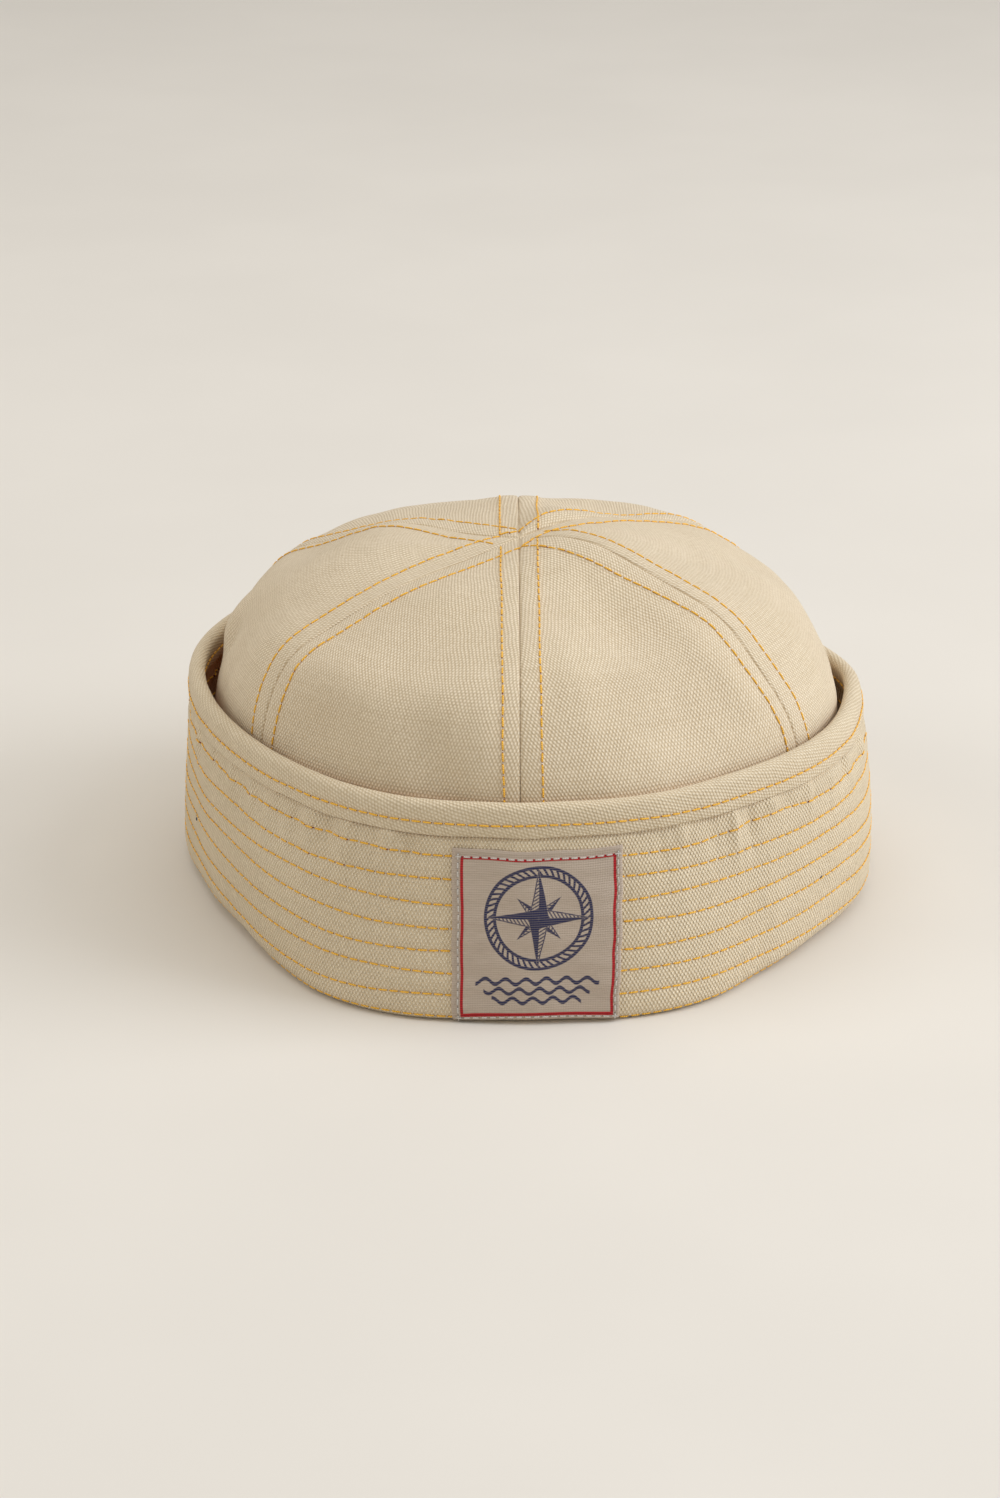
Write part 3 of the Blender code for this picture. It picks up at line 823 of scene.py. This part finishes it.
def fold_frame(azimuth, level, tilt):
    """The middle of a fold and its three directions: across it, down it and out of the cloth."""
    turn, tilt = math.radians(azimuth), math.radians(tilt)
    across = np.array([math.cos(turn), math.sin(turn), 0.0])
    down = smooth_crown(azimuth, level + 0.02) - smooth_crown(azimuth, level - 0.02)
    down /= np.linalg.norm(down)
    out = np.cross(down, across)
    out /= np.linalg.norm(out)
    c, s = math.cos(tilt), math.sin(tilt)
    return smooth_crown(azimuth, level), across * c + down * s, down * c - across * s, out


FOLD_FRAMES = [fold_frame(azimuth, level, tilt) for azimuth, level, _, _, tilt, _ in FOLDS]


def crown_face(azimuth, level):
    """Places on the crown's outer face, folds included, before seams."""
    place = smooth_crown(azimuth, level)
    push_all = 0.0
    for (centre, across, down, out), (_, _, wide, long, _, push) in zip(FOLD_FRAMES, FOLDS):
        away = place - centre
        strength = np.exp(-(away @ across / wide) ** 2 - (away @ down / long) ** 2
                          - (away @ out / FOLD_THICKNESS) ** 2)
        push_all = push_all + strength[..., None] * push * out
    return place + push_all


crown_top = crown_face(np.linspace(-180, 180, 90)[:, None], np.linspace(0, 3, 60))[..., 2].max()
print("top of the crown: %.1f mm" % crown_top)

# %% [markdown]
# ## Seams of the crown
# Each seam is pressed open: the turned-in edges make a slightly raised band on both sides of a narrow
# ditch, and a line of topstitching holds each edge down. The ditch, the band and the pull of the
# stitches are all worked out from how far a point lies from the nearest seam.

# %% Seam relief
SEAMS = [-180, -122, -56, 0, 57, 128, 180]
PANELS = ["back_left", "left", "front_left", "front_right", "right", "back_right"]

# How far each line of topstitching lies from its ditch, at these lengths of cloth from the apex.
LINE_LENGTHS = [5, 25, 50, 75, 110]
LINES = {                   # on the left of each seam and on its right
    -180: ([5.2, 5.3, 5.4, 5.3, 5.3], [5.2, 5.3, 5.4, 5.3, 5.3]),
    -122: ([6.2, 7.2, 6.8, 6, 5.6], [6, 5.2, 4.8, 4.8, 4.9]),
    -56: ([6, 6.9, 6.4, 5.6, 5.2], [7, 6.5, 5.2, 4.8, 5.4]),
    0: ([5.1, 5, 4.8, 4.6, 4.3], [5.1, 5.1, 5.2, 5.4, 6.2]),
    57: ([6.2, 7, 6, 5.6, 4.4], [5.4, 4.6, 5.1, 5.7, 6.4]),
    128: ([5.4, 5.8, 5, 5, 5], [4.8, 5.6, 6, 5.5, 5.3])}


def line_offset(seam, side, along):
    return np.interp(along, LINE_LENGTHS, LINES[seam][side > 0])


def seam_relief(azimuth, radius, along):
    """How far the crown's face stands off its smooth shape because of its seams."""
    band, ditch, pull, pucker = (np.zeros_like(radius) for _ in range(4))
    for number, seam in enumerate(SEAMS[:-1]):
        turn = np.radians(turn_from(seam, azimuth))
        away = radius * np.sin(np.clip(np.abs(turn), 0, math.pi / 2))
        ahead, side = radius * np.cos(turn), np.sign(turn)
        there = (ahead > -0.5).astype(float)
        line = np.where(side < 0, line_offset(seam, -1, along), line_offset(seam, 1, along))
        band = np.maximum(band, there * (1 - smooth_step(away, line - 0.4, line + 1.4)))
        ditch = np.maximum(ditch, there * (0.7 * bell(away, 0.30) + 0.3 * bell(away, 1.2)))
        pull = np.maximum(pull, there * bell(away - line, 0.55) * smooth_step(ahead, 2.0, 5.0))
        waves = ripples(along + 400.0 * number, side * 40.0 + away * 0.3, 8.0, 31 + number)
        pucker = pucker + there * waves * bell(away - line, 2.6) * smooth_step(ahead, 4.0, 14.0)
    return 0.28 * band - 0.62 * ditch - 0.14 * pull + 0.08 * pucker


def level_table():
    """Levels about a millimetre apart down the profile, and the cloth's length to each."""
    fine = np.linspace(0, FOOT_LEVEL, 1401)
    path = smooth_crown(np.array(0.0), fine)
    length = np.r_[0.0, np.cumsum(np.linalg.norm(np.diff(path, axis=0), axis=-1))]
    steps = np.r_[0.3, 0.8, 1.4, np.arange(2.2, length[-1], 1.15), length[-1]]
    return np.interp(steps, length, fine), steps


CROWN_LEVELS, CROWN_LENGTHS = level_table()
print("%d mesh rows from apex to foot, %.0f mm of cloth" % (len(CROWN_LEVELS), CROWN_LENGTHS[-1]))

# %% [markdown]
# ## Crown panels
# Six gores make the dome. Each is its own solid, whose columns crowd together near its two seams,
# where the small relief is, and spread out across its middle. The cloth's grain runs straight down
# the middle of each panel, as it is cut.

# %% Crown panels
CROWN_CLOTH = 1.2
SEAM_COLUMNS = [0.04, 0.22, 0.42, 0.7, 1.1, 1.7, 2.5, 3.4, 4.1, 4.5, 4.9, 5.3, 5.7, 6.3, 7.2, 8.4]
SEAM_ROOM = 16.0            # mm from seam to middle below which the columns squeeze together
MIDDLE_COLUMNS = 27
GRAIN_SHIFT = 130.0         # mm between two panels in the weave


def panel_columns(half_width):
    """Distances from the seam to each column, up to the panel's middle."""
    squeeze = np.minimum(half_width / SEAM_ROOM, 1.0)
    start = SEAM_COLUMNS[-1] * squeeze
    share = np.arange(1, MIDDLE_COLUMNS + 1) / MIDDLE_COLUMNS
    middle = start[:, None] + (half_width - start)[:, None] * share
    return np.concatenate([np.array(SEAM_COLUMNS) * squeeze[:, None], middle], axis=1)


def make_panel(number):
    left, right = SEAMS[number], SEAMS[number + 1]
    centre = (left + right) / 2
    half_width = from_axis(smooth_crown(centre, CROWN_LEVELS)) * math.radians(right - left) / 2
    near = panel_columns(half_width) / half_width[:, None]
    share = np.concatenate([near - 1, (1 - near[:, ::-1])[:, 1:]], axis=1)
    azimuth = centre + share * (right - left) / 2
    level, along = (np.broadcast_to(row[:, None], azimuth.shape) for row in (CROWN_LEVELS, CROWN_LENGTHS))
    place = crown_face(azimuth, level)
    normal = face_normal(crown_face, azimuth, np.maximum(level, 0.02), 0.5, 0.01)
    u = share * half_width[:, None]
    drape = 0.16 * ripples(u, along, 26.0, 41 + number) + 0.08 * ripples(u, along, 12.0, 51 + number)
    drape = drape * smooth_step(half_width[:, None] - np.abs(u), 8.0, 16.0)
    relief = seam_relief(azimuth, from_axis(place), along) + drape
    outer = place + normal * relief[..., None]
    inner = place - normal * (CROWN_CLOTH + 0.2 - 0.5 * drape)[..., None]
    uv = np.stack([u + GRAIN_SHIFT * number, along], -1)
    # Down in the gap the panel takes the painted brown shade.
    piece = cloth_piece(
        "crown_" + PANELS[number], outer, inner, uv, crown_canvas, inside=gap_shade(azimuth))
    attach(piece, "root")
    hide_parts("crown_panel_" + PANELS[number])


for number in range(len(PANELS)):
    make_panel(number)

# %% [markdown]
# ## One stitch
# Every line of sewing repeats one shape: a short length of thread that rises out of one needle hole,
# lies on the cloth and dives into the next. It is a tube with six sides, made once and kept out of the
# render. Geometry Nodes set copies of it along the path of each line.

# %% One stitch
def stitch_mesh(name, length, width, rings=7, sides=6):
    """A tube along X that dives at both ends; its UV runs along it and round it."""
    share = np.arange(rings)[:, None] / (rings - 1)
    round_it = np.arange(sides) / sides
    turn = 2 * math.pi * round_it
    reach = np.abs(2 * share - 1)
    rise = 0.20 * width - 0.85 * width * reach ** 7
    radius = width / 2 * (1 - 0.25 * reach ** 4)
    places = np.stack(np.broadcast_arrays(
        (share - 0.5) * length, radius * np.cos(turn), rise + radius * np.sin(turn)), -1) * MM
    uvs = np.stack(np.broadcast_arrays(share, round_it), -1).reshape(-1, 2)
    ends = [tuple(range(sides)), tuple(reversed(range((rings - 1) * sides, rings * sides)))]
    mesh = bpy.data.meshes.new(name)
    mesh.from_pydata(places.reshape(-1, 3).tolist(), [], grid_faces(rings, sides, True).tolist() + ends)
    corners = [loop.vertex_index for loop in mesh.loops]
    mesh.uv_layers.new(name="cloth").data.foreach_set("uv", uvs[corners].astype(np.float32).ravel())
    mesh.shade_smooth()
    return mesh


stitch_shape = bpy.data.objects.new("stitch_shape", stitch_mesh("stitch_shape", 3.0, 0.49))
print("one stitch has %d faces" % len(stitch_shape.data.polygons))

# %% [markdown]
# ## Laying stitches along a line
# The node tree turns a line into evenly spaced points, stands a stitch on each so that it looks along
# the line and its top faces out of the cloth, and varies the length and the angle a little, because
# no machine lays every stitch alike. The tree is built once and used for every line of thread.

# %% Stitch tree
def stitch_tree():
    tree = bpy.data.node_groups.new("stitches_along_lines", "GeometryNodeTree")
    for name, kind, value in (
            ("Lines", "Geometry", None), ("Stitch", "Object", None), ("Pitch", "Float", 3.0 * MM),
            ("Unevenness", "Float", 0.06), ("Slant", "Float", 0.05), ("Seed", "Int", 1),
            ("Thread", "Material", None)):
        socket = tree.interface.new_socket(name, in_out="INPUT", socket_type="NodeSocket" + kind)
        if value is not None:
            socket.default_value = value
    tree.interface.new_socket("Stitches", in_out="OUTPUT", socket_type="NodeSocketGeometry")
    wiring = Wiring(tree)
    given = wiring.node("NodeGroupInput").outputs

    def random_number(name, shift):
        """A number round 0, different for each stitch."""
        spread = Number(wiring, given[name])
        return Number(wiring, wiring.made("FunctionNodeRandomValue", {"data_type": "FLOAT"}, {
            "Min": spread * -1.0, "Max": spread, "Seed": Number(wiring, given["Seed"]) + shift}))

    curve = wiring.made("GeometryNodeMeshToCurve", None, {"Mesh": given["Lines"]})
    points = wiring.node("GeometryNodeCurveToPoints", {"mode": "LENGTH"},
                         {"Curve": curve, "Length": given["Pitch"]}).outputs
    out = wiring.made("GeometryNodeInputNamedAttribute", {"data_type": "FLOAT_VECTOR"},
                      {"Name": "out"}, "Attribute")
    along = wiring.made("FunctionNodeAlignRotationToVector", {"axis": "X"}, {"Vector": points["Tangent"]})
    upright = wiring.made("FunctionNodeAlignRotationToVector", {"axis": "Z", "pivot_axis": "X"},
                          {"Rotation": along, "Vector": out})
    swing = wiring.made("FunctionNodeAxisAngleToRotation", None,
                        {"Axis": (0.0, 0.0, 1.0), "Angle": random_number("Slant", 0)})
    turned = wiring.made("FunctionNodeRotateRotation", {"rotation_space": "LOCAL"},
                         {"Rotation": upright, "Rotate By": swing})
    scale = wiring.made("ShaderNodeCombineXYZ", None,
                        {"X": random_number("Unevenness", 50) + 1.0, "Y": 1.0, "Z": 1.0})
    shape = wiring.made("GeometryNodeObjectInfo", None, {"Object": given["Stitch"]}, "Geometry")
    laid = wiring.made("GeometryNodeInstanceOnPoints", None, {
        "Points": points["Points"], "Instance": shape, "Rotation": turned, "Scale": scale})
    real = wiring.made("GeometryNodeRealizeInstances", None, {"Geometry": laid})
    painted = wiring.made("GeometryNodeSetMaterial", None, {"Geometry": real, "Material": given["Thread"]})
    wiring.node("NodeGroupOutput", None, {"Stitches": painted})
    return tree


STITCH_TREE = stitch_tree()


def line_on(surface, u, v, proud, side=1, closes=True, steps=(0.05, 0.05)):
    """A line to sew: places just proud of a surface, their outward directions, and if it closes."""
    normal = side * face_normal(surface, u, v, *steps)
    return surface(u, v) + normal * proud, normal, closes


def sew(name, lines, pitch, material, seed, shape=stitch_shape):
    """Lays stitches along lines and makes one mesh of them."""
    places, outs, edges = [], [], []
    for place, out, closes in lines:
        first = len(places)
        places += (place * MM).tolist()
        outs += out.tolist()
        edges += [(first + i, first + i + 1) for i in range(len(place) - 1)]
        if closes:
            edges.append((len(places) - 1, first))
    mesh = bpy.data.meshes.new(name)
    mesh.from_pydata(places, edges, [])
    attribute = mesh.attributes.new("out", "FLOAT_VECTOR", "POINT")
    attribute.data.foreach_set("vector", np.array(outs, np.float32).ravel())
    piece = put_in_scene(name, mesh)
    modifier = piece.modifiers.new("stitches", "NODES")
    modifier.node_group = STITCH_TREE
    settings = {"Stitch": shape, "Pitch": pitch * MM, "Seed": seed, "Thread": material}
    for item in STITCH_TREE.interface.items_tree:
        if item.in_out == "INPUT" and item.name in settings:
            modifier[item.identifier] = settings[item.name]
    bpy.context.view_layer.update()
    sewn = bpy.data.meshes.new_from_object(piece.evaluated_get(bpy.context.evaluated_depsgraph_get()))
    piece.modifiers.remove(modifier)
    sewn.name = name
    piece.data = sewn
    if "out" in sewn.attributes:
        sewn.attributes.remove(sewn.attributes["out"])
    print("%s: %d faces" % (name, len(sewn.polygons)))
    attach(piece, "root")


print("stitch tree has %d nodes" % len(STITCH_TREE.nodes))

# %% [markdown]
# ## Sewing the brim
# Each row of quilting is a closed line round the cap. It lies in the furrow that the brim's mesh
# already has, so the thread touches the cloth all the way round. The same needle holes show on the
# inner face, so the rows repeat there.

# %% Brim stitches
PITCH = 3.05                # mm from one stitch to the next
LINE_AZIMUTHS = np.linspace(-180, 180, 720, endpoint=False)


def quilted_face(azimuth, level):
    return brim_face(azimuth, row_drop(level, azimuth), quilting(azimuth, level))


def quilted_back(azimuth, level):
    return brim_face(azimuth, row_drop(level, azimuth), inner_face_lift(azimuth, level))


def row_line(surface, row, side):
    """One row of quilting, as uneven as a hand-guided line."""
    hand = 0.10 * ripples(np.radians(LINE_AZIMUTHS) * WALL_RADIUS, 0.0, 30.0, 60 + row)
    return line_on(surface, LINE_AZIMUTHS, ROWS[row] + hand, 0.05, side)


sew("brim_stitches", [row_line(quilted_face, row, 1) for row in range(1, 9)], PITCH, orange_thread, 3)
sew("brim_inner_stitches", [row_line(quilted_back, row, -1) for row in range(1, 8)],
    PITCH, orange_thread, 4)

# %% [markdown]
# ## Sewing the tape
# One row holds the tape. It sinks into the tape more than the quilting sinks into the brim, because
# the tape is soft and folded double.

# %% Tape stitches
def tape_line(side):
    """The tape's row, on its outer leg for side 1 and on its inner leg for side -1."""
    def surface(azimuth, drop):
        if side > 0:
            return brim_face(azimuth, drop, tape_lift(azimuth, drop))
        return brim_face(azimuth, drop, -BRIM_CLOTH - tape_lift(azimuth + INNER_TURN, drop) * INNER_LEG)

    hand = 0.08 * ripples(np.radians(LINE_AZIMUTHS) * RIM_RADIUS, 0.0, 26.0, 71)
    return line_on(surface, LINE_AZIMUTHS, row_drop(ROWS[0], LINE_AZIMUTHS) + hand, 0.08, side)


sew("tape_stitches", [tape_line(1), tape_line(-1)], PITCH, orange_thread, 5)

# %% [markdown]
# ## Sewing the crown
# Two lines follow each seam. Near the apex they run straight on at the same distance from the seam
# rather than closing in with it. The lines of one pair of opposite seams, sewn last, cross the top
# without a break, and the others stop against them.

# %% Crown stitches
THROUGH = (-56, 128)        # the pair of seams whose lines cross the top
LINE_END = 152.0            # mm of cloth from the apex, down inside the brim
DOME_RADIUS = 62.0


def seam_line(seam, side, start):
    """A line beside a seam, from start mm off the apex down into the brim."""
    level = np.interp(np.arange(start, LINE_END, 1.0), CROWN_LENGTHS, CROWN_LEVELS)
    ahead = from_axis(smooth_crown(np.full_like(level, seam), level))
    length = np.interp(level, CROWN_LEVELS, CROWN_LENGTHS)
    wander = 0.12 * ripples(length, 0.0, 24.0, seam % 97 + side + 5)
    away = side * (line_offset(seam, side, length) + wander)
    azimuth = seam + np.degrees(np.arctan2(away, ahead))
    radius = np.hypot(away, ahead)
    # On the dome, where a level is about as deep as the first ring, the level is moved until the
    # point lies as far out as it should.
    for _ in range(4):
        gap = radius - from_axis(smooth_crown(azimuth, level))
        level = np.clip(level + gap / RING_RADII[0] * (ahead < DOME_RADIUS), 0.0, FOOT_LEVEL)
    normal = face_normal(crown_face, azimuth, np.maximum(level, 0.05), 0.5, 0.01)
    proud = seam_relief(azimuth, radius, length) + 0.06
    return crown_face(azimuth, level) + normal * proud[:, None], normal


crown_lines = [(*seam_line(seam, side, 6.0), False)
               for seam in SEAMS[:-1] if seam not in THROUGH for side in (-1, 1)]
for side in (-1, 1):
    halves = zip(seam_line(THROUGH[0], side, 0.4), seam_line(THROUGH[1], -side, 0.4))
    crown_lines.append((*(np.concatenate([first[::-1], second]) for first, second in halves), False))
sew("crown_stitches", crown_lines, PITCH, orange_thread, 6)

# %% [markdown]
# ## The label
# A woven label is sewn to the front: fine horizontal ribs of taupe satin, a red frame and a navy
# picture. The picture here is a plain compass star over waves, drawn by sums on the place in the
# label, so that it stays sharp at any size. Short hatching inside it stands for the navy threads.

# %% Label material
FRAME_LEFT, FRAME_RIGHT, FRAME_TOP, FRAME_LOW = -19.7, 20.3, 2.3, 44.9
STAR_X, STAR_Y, STAR_REACH, STAR_WIDTH = 0.4, 18.2, 13.6, 2.7
SHORT_REACH, SHORT_WIDTH = 8.2, 1.9
RING_REACHES = (11.6, 14.0)
WAVES, WAVE_TOP, WAVE_STEP = 3, 35.6, 2.7


def near(distance, full, none):
    """1 close to a line and 0 further off than none."""
    return 1.0 - distance.size().step(full, none)


def star_points(px, py, long, wide):
    """One pair of opposite star points along px; filled on one side and hatched on the other."""
    ahead, aside = px.size(), py.size()
    edge = (1.0 - ahead / long) * wide
    inside = (edge - aside).step(-0.12, 0.12)
    filled = (px * py).step(-0.02, 0.02)
    hatch = (ahead + aside * 0.6).cosine(0.95).step(-0.15, 0.35)
    return inside * filled.most(near(edge - aside, 0.18, 0.42)).most(hatch * 0.85)


def label_material():
    recipe = Recipe("woven_label")
    x, y = recipe.place()                     # x from the middle, y down from the top edge
    rib = y.cosine(0.62) * 0.5 + 0.5
    fine = x.cosine(0.45) * 0.5 + 0.5
    uneven = recipe.noise(recipe.vector(x * 0.25, y * 2.2), 1.0)
    ground = recipe.mix(rib * 0.30 + uneven * 0.55, colour(171, 154, 136), colour(209, 193, 177))

    # The frame: distance to a rectangle's outline.
    to_side = (x - (FRAME_LEFT + FRAME_RIGHT) / 2).size() - (FRAME_RIGHT - FRAME_LEFT) / 2
    to_end = (y - (FRAME_TOP + FRAME_LOW) / 2).size() - (FRAME_LOW - FRAME_TOP) / 2
    frame_mask = near(to_side.most(to_end), 0.30, 0.48)

    # The star: eight points, four long and four short, each half filled, with a hub.
    cx, cy = x - STAR_X, y - STAR_Y
    reach = (cx * cx + cy * cy).sum_with("SQRT")
    turned_x, turned_y = (cx + cy) * math.sqrt(0.5), (cy - cx) * math.sqrt(0.5)
    short_points, long_points = (
        star_points(px, py, long, wide).most(star_points(py, px * -1.0, long, wide))
        for px, py, long, wide in (
            (turned_x, turned_y, SHORT_REACH, SHORT_WIDTH), (cx, cy, STAR_REACH, STAR_WIDTH)))
    cover, crossing = (
        ((1.0 - px.size() / STAR_REACH) * STAR_WIDTH - py.size()).step(-0.1, 0.1)
        for px, py in ((cx, cy), (cy, cx)))
    cover = cover.most(crossing)
    star = long_points.most(short_points * (1.0 - cover)).most(near(reach - 1.1, 0.18, 0.4))

    # A ring with ticks, and three wave lines under it.
    ring = near(reach - RING_REACHES[0], 0.30, 0.52).most(near(reach - RING_REACHES[1], 0.30, 0.52))
    ticks = (cy.sum_with("ARCTAN2", cx) + reach * 0.06).cosine(math.pi / 24).step(0.05, 0.40)
    ring = ring.most(ticks * near(reach - sum(RING_REACHES) / 2, 1.0, 1.2)) * (1.0 - cover)
    navy = star.most(ring)
    for number in range(WAVES):
        crest = (x + 1.7 * number).cosine(5.4) * 0.75
        line = near(y - (WAVE_TOP + WAVE_STEP * number) - crest, 0.40, 0.66)
        navy = navy.most(line * near(x - 0.3, 16.2 - 2.2 * number, 16.6 - 2.2 * number))
    navy = navy.held()

    tone = recipe.mix(navy * (rib * 0.25 + 0.75), ground, colour(4, 22, 72))
    tone = recipe.mix(frame_mask, tone, recipe.mix(rib, colour(150, 22, 30), colour(196, 40, 44)))
    height = rib * 0.05 + fine * 0.03 + navy * 0.06 + frame_mask * 0.08
    return recipe.finish(tone, 0.66, height, 1.0, sheen=0.03)


woven = label_material()
print("label material has %d nodes" % len(woven.node_tree.nodes))

# %% [markdown]
# ## The label's cloth
# The label is thin and springy. It follows the brim but not each row of quilting under it, its sides
# waver, and it is pulled in along its stitches.

# %% Label
LABEL_CORNERS = np.array([                  # azimuth and drop, left and right, at the top and below
    [(-11.05, 12.22), (16.55, 12.18)], [(-10.26, 59.50), (14.90, 59.30)]])
LABEL_HALF, LABEL_HEIGHT, LABEL_THICK, LABEL_LIFT = 22.4, 46.2, 0.55, 0.95
WAVER_HALF, WAVER_HEIGHT, ROW_SPACING = 22.0, 46.0, 6.4      # rounded, for waves alone
LABEL_STEPS = (0.002, 0.002)                # for its normals, as shares of the label


def label_place(share_x, share_y):
    """Azimuth and drop on the label, from -1 at its left to 1, and from 0 at its top to 1."""
    side = (share_x + 1) / 2
    top, low = (left + (right - left) * side[..., None] for left, right in LABEL_CORNERS)
    azimuth, drop = np.moveaxis(top + (low - top) * share_y[..., None], -1, 0)
    for share, wave, wavelength, seed in ((side, 0.14, 13.0, 81), (1 - side, 0.12, 15.0, 82)):
        waver = wave * ripples(share_y * WAVER_HEIGHT, 0.0, wavelength, seed)
        azimuth = azimuth + np.degrees(waver / WALL_RADIUS) * share
    drop = drop + 0.10 * ripples(share_x * WAVER_HALF, 0.0, 12.0, 83) * (1 - share_y)
    return azimuth, drop + 0.6 * (1 - 2 * share_y) * (1 - share_x ** 2)


def label_face(share_x, share_y):
    azimuth, drop = label_place(share_x, share_y)
    x, y = share_x * LABEL_HALF, share_y * LABEL_HEIGHT
    from_edge = np.minimum(np.minimum(LABEL_HALF - np.abs(x), y), LABEL_HEIGHT - y + 2.0)
    pull = 0.16 * bell(from_edge - 1.3, 0.6)
    rounded = 0.35 * (1 - smooth_step(from_edge, 0.0, 0.5))
    level = 2 * drop - row_drop(drop, azimuth)
    rows_show = 0.10 * np.cos(2 * np.pi * (level - ROWS[1]) / ROW_SPACING)
    wave = 0.14 * ripples(x, y, 16.0, 84)
    return brim_face(azimuth, drop, LABEL_LIFT + wave - pull - rounded - rows_show)


label_x = np.r_[-1, -0.993, -0.98, -0.96, np.linspace(-0.94, 0.94, 72), 0.96, 0.98, 0.993, 1]
label_y = np.r_[0, 0.004, 0.01, 0.02, np.linspace(0.03, 0.98, 74), 0.99, 0.996, 1]
label_x, label_y = np.meshgrid(label_x, label_y)
label_out = label_face(label_x, label_y)
label_back = label_out - face_normal(label_face, label_x, label_y, *LABEL_STEPS) * LABEL_THICK
label_uv = np.stack([label_x * LABEL_HALF, label_y * LABEL_HEIGHT], -1)
label = cloth_piece("woven_label", label_out, label_back, label_uv, woven)
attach(label, "root")
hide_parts("front_label")

# %% [markdown]
# ## Sewing on the label
# An off-white lockstitch runs just inside the label's edges. Its stitches are shorter and finer than
# the orange ones.

# %% Label stitches
LEFT, RIGHT, TOP, LOW = -0.925, 0.945, 0.046, 0.985        # shares of the label
LABEL_PITCH = 2.3


def label_line(*ends):
    start, end = np.array(ends)
    share_x, share_y = (np.linspace(0, 1, 90)[:, None] * (end - start) + start).T
    return line_on(label_face, share_x, share_y, 0.05, closes=False, steps=LABEL_STEPS)


fine_stitch = bpy.data.objects.new("fine_stitch", stitch_mesh("fine_stitch", 2.1, 0.46))
label_lines = [label_line(*ends) for ends in (
    ((LEFT, TOP), (LEFT, LOW)), ((RIGHT, TOP), (RIGHT, LOW)),
    ((LEFT, TOP), (RIGHT, TOP)), ((LEFT, LOW), (RIGHT, LOW)))]
sew("label_stitches", label_lines, LABEL_PITCH, white_thread, 8, fine_stitch)

# %% [markdown]
# ## Two specks of lint
# Two tiny dark blue fibres are caught in the brim's weave, one on each side. Each is a bent hair of
# thread made with the same tube as a stitch, laid flat on the cloth at a slant.

# %% Lint
LINT = [(-79.4, 40.8, 0.9), (57.2, 39.5, -0.6)]       # azimuth, level, slant in radians
LINT_SHIFTS, LINT_PITCH = np.array([-0.6, 0.0, 0.6]), 1.25

lint_recipe = Recipe("lint_thread")
lint_bands = (lint_recipe.place()[0] * 3.0).cosine(1.0) * 0.5 + 0.5
lint_tone = lint_recipe.mix(lint_bands, colour(38, 46, 74), colour(70, 80, 108))
lint_shape = bpy.data.objects.new("lint_shape", stitch_mesh("lint_shape", 1.1, 0.34))
lint_lines = [
    line_on(quilted_face, azimuth + np.degrees(LINT_SHIFTS * math.cos(slant) / WALL_RADIUS),
            level + LINT_SHIFTS * math.sin(slant), 0.08, closes=False) for azimuth, level, slant in LINT]
sew("lint", lint_lines, LINT_PITCH, lint_recipe.finish(lint_tone, 0.7, sheen=0.2), 9, lint_shape)
